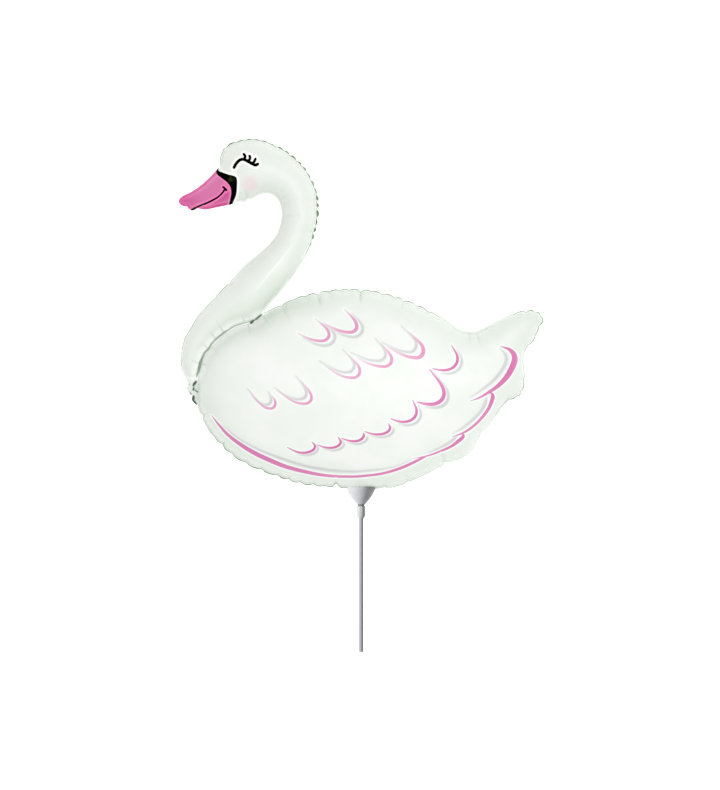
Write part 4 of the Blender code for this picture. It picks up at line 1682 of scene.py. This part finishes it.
    @staticmethod
    def normals(sheet: Array, triangles: Array, quads: Array) -> Array:
        """Works out a sheet's smooth normals, out of its printed side.

        Args:
            sheet: its points.
            triangles: its triangles.
            quads: its quads.

        Returns:
            The unit normal at each point.
        """
        split = np.vstack([triangles, quads[:, :3], quads[:, [0, 2, 3]]])
        a, b, c = (sheet[split[:, k]] for k in range(3))
        face = np.cross(b - a, c - a)
        total = np.stack([sum(np.bincount(split[:, k], face[:, axis], len(sheet)) for k in range(3))
                          for axis in range(3)], axis=1)
        return total / np.maximum(np.linalg.norm(total, axis=1), 1e-12)[:, None]

    def rim_lines(self, inset: float) -> dict[Chamber, list[Array]]:
        """The outer rim of the sealed edge, as the open stretches where the metal side shows.

        Args:
            inset: how far inside the rim the lines run.

        Returns:
            For each chamber, one line of (x, y, z, strength) for each scallop, in the swan's plane.
        """
        found = {}
        for chamber, seam in self.seams.items():
            other = next(other for other in self.seams.values() if other is not seam)
            line = seam.offset(self.flange - inset - self.tuck_slant * (1 - seam.share))
            shown = 2 * seam.strength(np.arange(len(line)) * seam.step) - 1
            clear = ~inside(line, other.loop) & (nearest(line, looped(other.loop))[0] > 4.0)
            clear &= ~inside(line, np.array(self.corner_web)) & (shown > 0.08)
            clear &= ~((np.abs(line[:, 0]) < self.cup_half) & (line[:, 1] < self.cup_top))
            clear[np.round(seam.notches[:, 0] / seam.step).astype(int) % len(line)] = False
            whole = np.column_stack([line, self.ruffle(self.measured(line)), shown])
            found[chamber] = [run for run in self.runs(whole, clear) if len(run) > 3]
        return found


@dataclass
class RimTucks:
    """Thin tucks folded into the rim of the sealed edge, where the foil's metal side shows."""

    plane: SwanPlane
    name: str
    width: float
    seed: int
    gap: float = 0.1  # the largest share of a scallop that stays flat at each end

    def tree(self) -> NodeTree:
        """Builds the Geometry Nodes tree that folds tucks along the rim.

        Returns:
            The tree.
        """
        nodes, given = new_group(
            "rim_tucks", "Geometry",
            {"Rim": "Geometry", "Gap": "Float", "Width": "Float", "Seed": "Int", "Finish": "Material"},
            {"Tucks": "Geometry"})

        def chance(number: Any, low: Any, high: Any, offset: float) -> NodeSocket:
            """A random value for each tuck."""
            seed = nodes.math("ADD", given["Seed"], offset)
            return nodes.add("FunctionNodeRandomValue", {2: low, 3: high, "ID": number,
                                                         "Seed": seed}).outputs[1]

        number = nodes.add("GeometryNodeInputIndex").outputs[0]
        end = nodes.math("SUBTRACT", 1.0, chance(number, 0.0, given["Gap"], 2.0))
        cut = nodes.add("GeometryNodeTrimCurve", {0: given["Rim"], 2: chance(number, 0.0, given["Gap"], 1.0),
                                                  3: end}, mode="FACTOR").outputs[0]
        drawn = nodes.add("GeometryNodeResampleCurve", {"Curve": cut, "Length": 0.6 * MM},
                          mode="LENGTH").outputs[0]
        place = nodes.add("GeometryNodeSplineParameter").outputs["Factor"]
        middle = nodes.gap(nodes.math("MULTIPLY", place, 2.0), 1.0)
        swell = nodes.math("SUBTRACT", 1.0, nodes.math("POWER", middle, 2.5))
        own = nodes.add("GeometryNodeCurveOfPoint").outputs["Curve Index"]
        shown = nodes.math("MULTIPLY", nodes.add("GeometryNodeInputRadius").outputs[0],
                           chance(own, 0.6, 1.25, 3.0))
        size = nodes.math("MULTIPLY", shown, nodes.math("POWER", nodes.math("MAXIMUM", swell, 0.0), 0.5))
        round_edge = nodes.add("GeometryNodeCurvePrimitiveCircle", {
            "Resolution": 6, "Radius": nodes.math("MULTIPLY", given["Width"], 0.5)}).outputs[0]
        swept = nodes.add("GeometryNodeCurveToMesh", {
            "Curve": drawn, "Profile Curve": round_edge, "Fill Caps": True,
            "Scale": nodes.math("MAXIMUM", size, 0.12)}).outputs[0]
        soft = nodes.add("GeometryNodeSetShadeSmooth", {"Geometry": swept}).outputs[0]
        real = nodes.add("GeometryNodeRealizeInstances", {0: soft}).outputs[0]
        dressed = nodes.add("GeometryNodeSetMaterial", {"Geometry": real, "Material": given["Finish"]})
        nodes.add("NodeGroupOutput", {0: dressed.outputs[0]})
        return nodes.tree

    def build(self, rims: list[Array], finish: Material) -> Object:
        """Makes the tucks.

        Args:
            rims: lines of (x, y, z, strength) in the swan's plane.
            finish: the tucks' material.

        Returns:
            The finished object.
        """
        curve = bpy.data.curves.new("rim", "CURVE")
        curve.dimensions = "3D"
        for rim in rims:
            spline = curve.splines.new("POLY")
            spline.points.add(len(rim) - 1)
            places = self.plane.place(rim[:, :3])
            spline.points.foreach_set("co", np.column_stack([places, np.ones(len(rim))]).ravel())
            spline.points.foreach_set("radius", rim[:, 3])
        inputs = {"Gap": self.gap, "Width": self.width * MM, "Seed": self.seed, "Finish": finish}
        return grown(linked(bpy.data.objects.new("rim", curve)), self.tree(), inputs, self.name, 1e-7)


# -------- the cup and the stick


@dataclass
class TurnedProfile:
    """A closed profile of (radius, height), turned about the stick's axis."""

    corners: Sequence[Spot]  # radius, height, and how far each corner is rounded
    sides: int = 64
    steps: int = 4

    def rounded(self) -> Array:
        """Rounds the profile's corners.

        Returns:
            Its points, as (radius, height).
        """
        corners = np.array(self.corners, float)
        places, sizes = corners[:, :2], corners[:, 2]
        found = []
        for before, place, after, size in zip(np.roll(places, 1, axis=0), places,
                                              np.roll(places, -1, axis=0), sizes):
            if size <= 0:
                found.append(place)
                continue
            start, end = (place + (other - place) * min(size / np.linalg.norm(other - place), 0.48)
                          for other in (before, after))
            found += [(1 - t) ** 2 * start + 2 * t * (1 - t) * place + t * t * end
                      for t in np.linspace(0, 1, self.steps + 1)]
        return np.array(found)

    def tree(self) -> NodeTree:
        """Builds the Geometry Nodes tree that turns a profile's points into a body.

        Returns:
            The tree.
        """
        nodes, given = new_group(
            "turned_body", "Geometry",
            {"Profile": "Geometry", "Sides": "Int", "Centre": "Vector", "Finish": "Material"},
            {"Body": "Geometry"})
        count = nodes.add("GeometryNodeAttributeDomainSize", {0: given["Profile"]}).outputs["Point Count"]
        rows = nodes.math("ADD", count, 1.0)
        grid = nodes.add("GeometryNodeMeshGrid", {"Vertices X": nodes.math("ADD", given["Sides"], 1.0),
                                                  "Vertices Y": rows}).outputs[0]
        index = nodes.add("GeometryNodeInputIndex").outputs[0]
        side = nodes.math("FLOOR", nodes.math("DIVIDE", nodes.math("ADD", index, 0.5), rows))
        row = nodes.math("SUBTRACT", index, nodes.math("MULTIPLY", side, rows))
        wrapped = nodes.math("MODULO", nodes.math("ADD", row, 0.25), count)
        where = nodes.add("GeometryNodeInputPosition").outputs[0]
        corner = nodes.add("GeometryNodeSampleIndex", {
            "Geometry": given["Profile"], "Value": where, "Index": nodes.math("FLOOR", wrapped),
        }, data_type="FLOAT_VECTOR")
        parts = nodes.add("ShaderNodeSeparateXYZ", {0: corner.outputs[0]}).outputs
        angle = nodes.math("MULTIPLY", nodes.math("DIVIDE", side, given["Sides"]), 2 * math.pi)
        across = nodes.math("MULTIPLY", parts[0], nodes.math("SINE", angle))
        up = nodes.math("MULTIPLY", parts[0], nodes.math("COSINE", angle))
        point = nodes.add("ShaderNodeCombineXYZ", {0: across, 1: parts[1], 2: up}).outputs[0]
        moved = nodes.add("ShaderNodeVectorMath", {0: point, 1: given["Centre"]}, operation="ADD").outputs[0]
        body = nodes.add("GeometryNodeSetPosition", {"Geometry": grid, "Position": moved}).outputs[0]
        merged = nodes.add("GeometryNodeMergeByDistance", {"Geometry": body, "Distance": 2e-6}).outputs[0]
        real = nodes.add("GeometryNodeRealizeInstances", {0: merged}).outputs[0]
        dressed = nodes.add("GeometryNodeSetMaterial", {"Geometry": real, "Material": given["Finish"]})
        nodes.add("NodeGroupOutput", {0: dressed.outputs[0]})
        return nodes.tree

    def build(self, name: str, plane: SwanPlane, finish: Material) -> Object:
        """Turns the body.

        Args:
            name: the object's name.
            plane: where the swan's plane lies.
            finish: the body's material.

        Returns:
            The plain object.
        """
        mesh = bpy.data.meshes.new(name + "_profile")
        mesh.from_pydata([(radius * MM, height * MM, 0.0) for radius, height in self.rounded()], [], [])
        inputs = {"Sides": self.sides, "Centre": tuple(plane.place((0, 0, 0))), "Finish": finish}
        return grown(linked(bpy.data.objects.new(mesh.name, mesh)), self.tree(), inputs, name, 2e-6)


@dataclass
class BalloonCup:
    """The cup that holds the filling tail: a funnel with a slotted rim, over a socket for the stick."""

    plane: SwanPlane
    rim: float = 1.0
    wall: float = 1.1
    radius: float = 14.2
    slot_half: float = 0.8
    slot_bottom: float = -2.4
    joint: float = -18.1  # the height of the groove between funnel and socket

    def build(self, effects: Effects) -> Object:
        """Makes the cup.

        Args:
            effects: the shared shader groups.

        Returns:
            The finished object.
        """
        outer, inner = self.radius, self.radius - self.wall
        profile = TurnedProfile([
            (0.0, -16.6, 0.0), (2.6, -16.2, 0.5), (7.0, -11.8, 1.0), (10.6, -6.4, 1.6), (inner, -2.6, 1.2),
            (inner, self.rim, 0.4), (outer, self.rim, 0.4), (outer, -2.6, 1.6), (12.1, -6.9, 2.0),
            (8.9, -11.8, 1.8), (5.7, -15.6, 1.4), (3.9, -17.5, 0.4), (3.3, self.joint, 0.15),
            (3.3, -18.8, 0.15), (4.3, -19.2, 0.3), (4.35, -28.4, 0.6), (3.8, -29.9, 0.6), (3.1, -31.3, 0.4),
            (2.7, -31.3, 0.2), (2.7, -19.4, 0.3), (0.0, -19.4, 0.0)])
        joint = float(self.plane.place((0, self.joint, 0))[1])
        grey = MouldedPlastic("cup_grey", srgb(118, 119, 121), srgb(113, 114, 117), joint=joint)
        cup = profile.build("cup_shell", self.plane, grey.material(effects))
        box = bmesh.new()
        bmesh.ops.create_cube(box, size=1.0)
        low, high = self.slot_bottom, self.rim + 2.0
        size = Vector((2 * outer + 6.0, high - low, 2 * self.slot_half)) * MM
        bmesh.ops.scale(box, vec=size, verts=box.verts)
        centre = self.plane.place((0.0, (low + high) / 2, 0.0))
        bmesh.ops.translate(box, vec=Vector(centre), verts=box.verts)
        cutter_mesh = bpy.data.meshes.new("slot_cutter")
        box.to_mesh(cutter_mesh)
        box.free()
        cutter = linked(bpy.data.objects.new("slot_cutter", cutter_mesh))
        slots = cup.modifiers.new("slots", "BOOLEAN")
        slots.operation = "DIFFERENCE"
        slots.object = cutter
        made = plain_mesh(cup, "balloon_cup")
        bpy.data.objects.remove(cutter)
        return shaded(made, 40)


@dataclass
class BalloonStick:
    """The tube that the balloon is held by."""

    plane: SwanPlane
    radius: float = 2.4
    bore: float = 1.55
    top: float = -19.8
    end: float = -165.0

    def build(self, effects: Effects) -> Object:
        """Makes the stick.

        Args:
            effects: the shared shader groups.

        Returns:
            The finished object.
        """
        profile = TurnedProfile([
            (self.bore, self.end, 0.2), (self.bore, self.top, 0.2), (self.radius, self.top, 0.4),
            (self.radius, self.end, 0.45)], sides=48)
        finish = MouldedPlastic("tube_grey", srgb(104, 105, 108), srgb(98, 99, 103), 0.42, 12.0)
        return shaded(profile.build("balloon_stick", self.plane, finish.material(effects)), 40)


# -------- the studio


@dataclass
class Studio:
    """A pale floor, soft light and the camera, which looks straight down on the lying balloon."""

    plane: SwanPlane
    view_centre: Point = (-1.0, 92.0)
    view_height: float = 790.0  # millimetres of the swan's plane from the picture's top to its bottom
    distance: float = 8.0
    floor_half: float = 8.0
    apart: Collection = field(init=False)  # the pieces that the stick's light falls on

    def floor(self) -> None:
        """Lays the floor."""
        mesh = bpy.data.meshes.new("studio_floor")
        far = self.floor_half
        mesh.from_pydata([(-far, -far, 0), (far, -far, 0), (far, far, 0), (-far, far, 0)], [], [(0, 1, 2, 3)])
        made = linked(bpy.data.objects.new("studio_floor", mesh))
        finish, nodes, shader, place = started("studio_floor")
        tone = nodes.add("ShaderNodeTexNoise", {"Vector": place, "Scale": 3.0, "Detail": 2.0}).outputs[0]
        pale = nodes.blend(tone, srgb(250, 250, 250), srgb(253, 253, 253))
        seen = nodes.add("ShaderNodeLightPath").outputs["Is Camera Ray"]
        nodes.feed(shader, {"Base Color": pale, "Emission Color": pale, "Roughness": 0.9,
                            "Emission Strength": nodes.ramp(seen, 0.0, 1.0, 0.28, 0.75, "LINEAR"),
                            "Specular IOR Level": 0.1})
        mesh.materials.append(finish)

    def light(self, name: str, place: tuple, aim: tuple, size: float, power: float) -> Object:
        """Hangs one soft light.

        Args:
            name: its name.
            place: where it hangs, in metres.
            aim: the point that it faces.
            size: its width.
            power: its power in watts.

        Returns:
            The light.
        """
        data = bpy.data.lights.new(name, "AREA")
        data.shape = "DISK"
        data.size = size
        data.energy = power
        made = linked(bpy.data.objects.new(name, data))
        made.location = place
        made.rotation_euler = (Vector(aim) - Vector(place)).to_track_quat("-Z", "Y").to_euler()
        return made

    def lit_apart(self, light: Object) -> None:
        """Lets a light fall on the cup and the stick alone."""
        light.visible_glossy = False
        self.apart = bpy.data.collections.new("cup_and_stick")
        light.light_linking.receiver_collection = self.apart

    def build(self) -> None:
        """Sets up floor, lights, surroundings and camera."""
        self.floor()
        self.light("key_light", (0.7, 0.3, 2.6), (0.0, 0.0, 0.0), 2.0, 20.0)
        self.lit_apart(self.light("stick_light", (-1.4, -0.17, 0.8), (0.0, -0.17, 0.06), 0.5, 98.0))
        world = bpy.data.worlds.new("studio_air")
        bpy.context.scene.world = world
        world.use_nodes = True
        Nodes(world.node_tree).feed(world.node_tree.nodes["Background"],
                                    {"Color": (0.99, 1.0, 0.985, 1.0), "Strength": 0.8})
        camera = bpy.data.cameras.new("camera")
        camera.sensor_fit = "VERTICAL"
        camera.sensor_height = 36.0
        camera.lens = 36.0 * self.distance / (self.view_height * MM)
        camera.clip_end = 60.0
        made = linked(bpy.data.objects.new("camera", camera))
        made.location = self.plane.place((*self.view_centre, self.distance / MM))
        bpy.context.scene.camera = made
        bpy.context.scene.view_settings.view_transform = "Standard"


def main() -> None:
    """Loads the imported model, builds every piece in order and notes the sizes."""
    logging.basicConfig(level=logging.INFO, format="%(name)s: %(message)s")
    for old in list(bpy.data.objects):
        bpy.data.objects.remove(old)
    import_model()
    plane = SwanPlane.from_stick(BalloonStick.end)
    studio = Studio(plane)
    studio.build()
    effects = Effects()
    balloon = FoilBalloon(plane, Artwork())
    hand_over(balloon.build(effects), "foil", "foil_balloon")
    finish = FoldedSeal().material(effects)
    tucks = {Chamber.NECK: RimTucks(plane, "neck_rim_tucks", width=2.4, seed=11),
             Chamber.BODY: RimTucks(plane, "body_rim_tucks", width=1.2, seed=17)}
    for chamber, rims in balloon.rim_lines(0.3).items():
        hand_over(tucks[chamber].build(rims, finish), "foil")
    for piece, slot, node in ((BalloonCup(plane).build(effects), "cup_plastic", "cup"),
                              (BalloonStick(plane).build(effects), "stick_plastic", "stick")):
        studio.apart.objects.link(piece)
        hand_over(piece, slot, node)


if __name__ == "__main__":
    main()
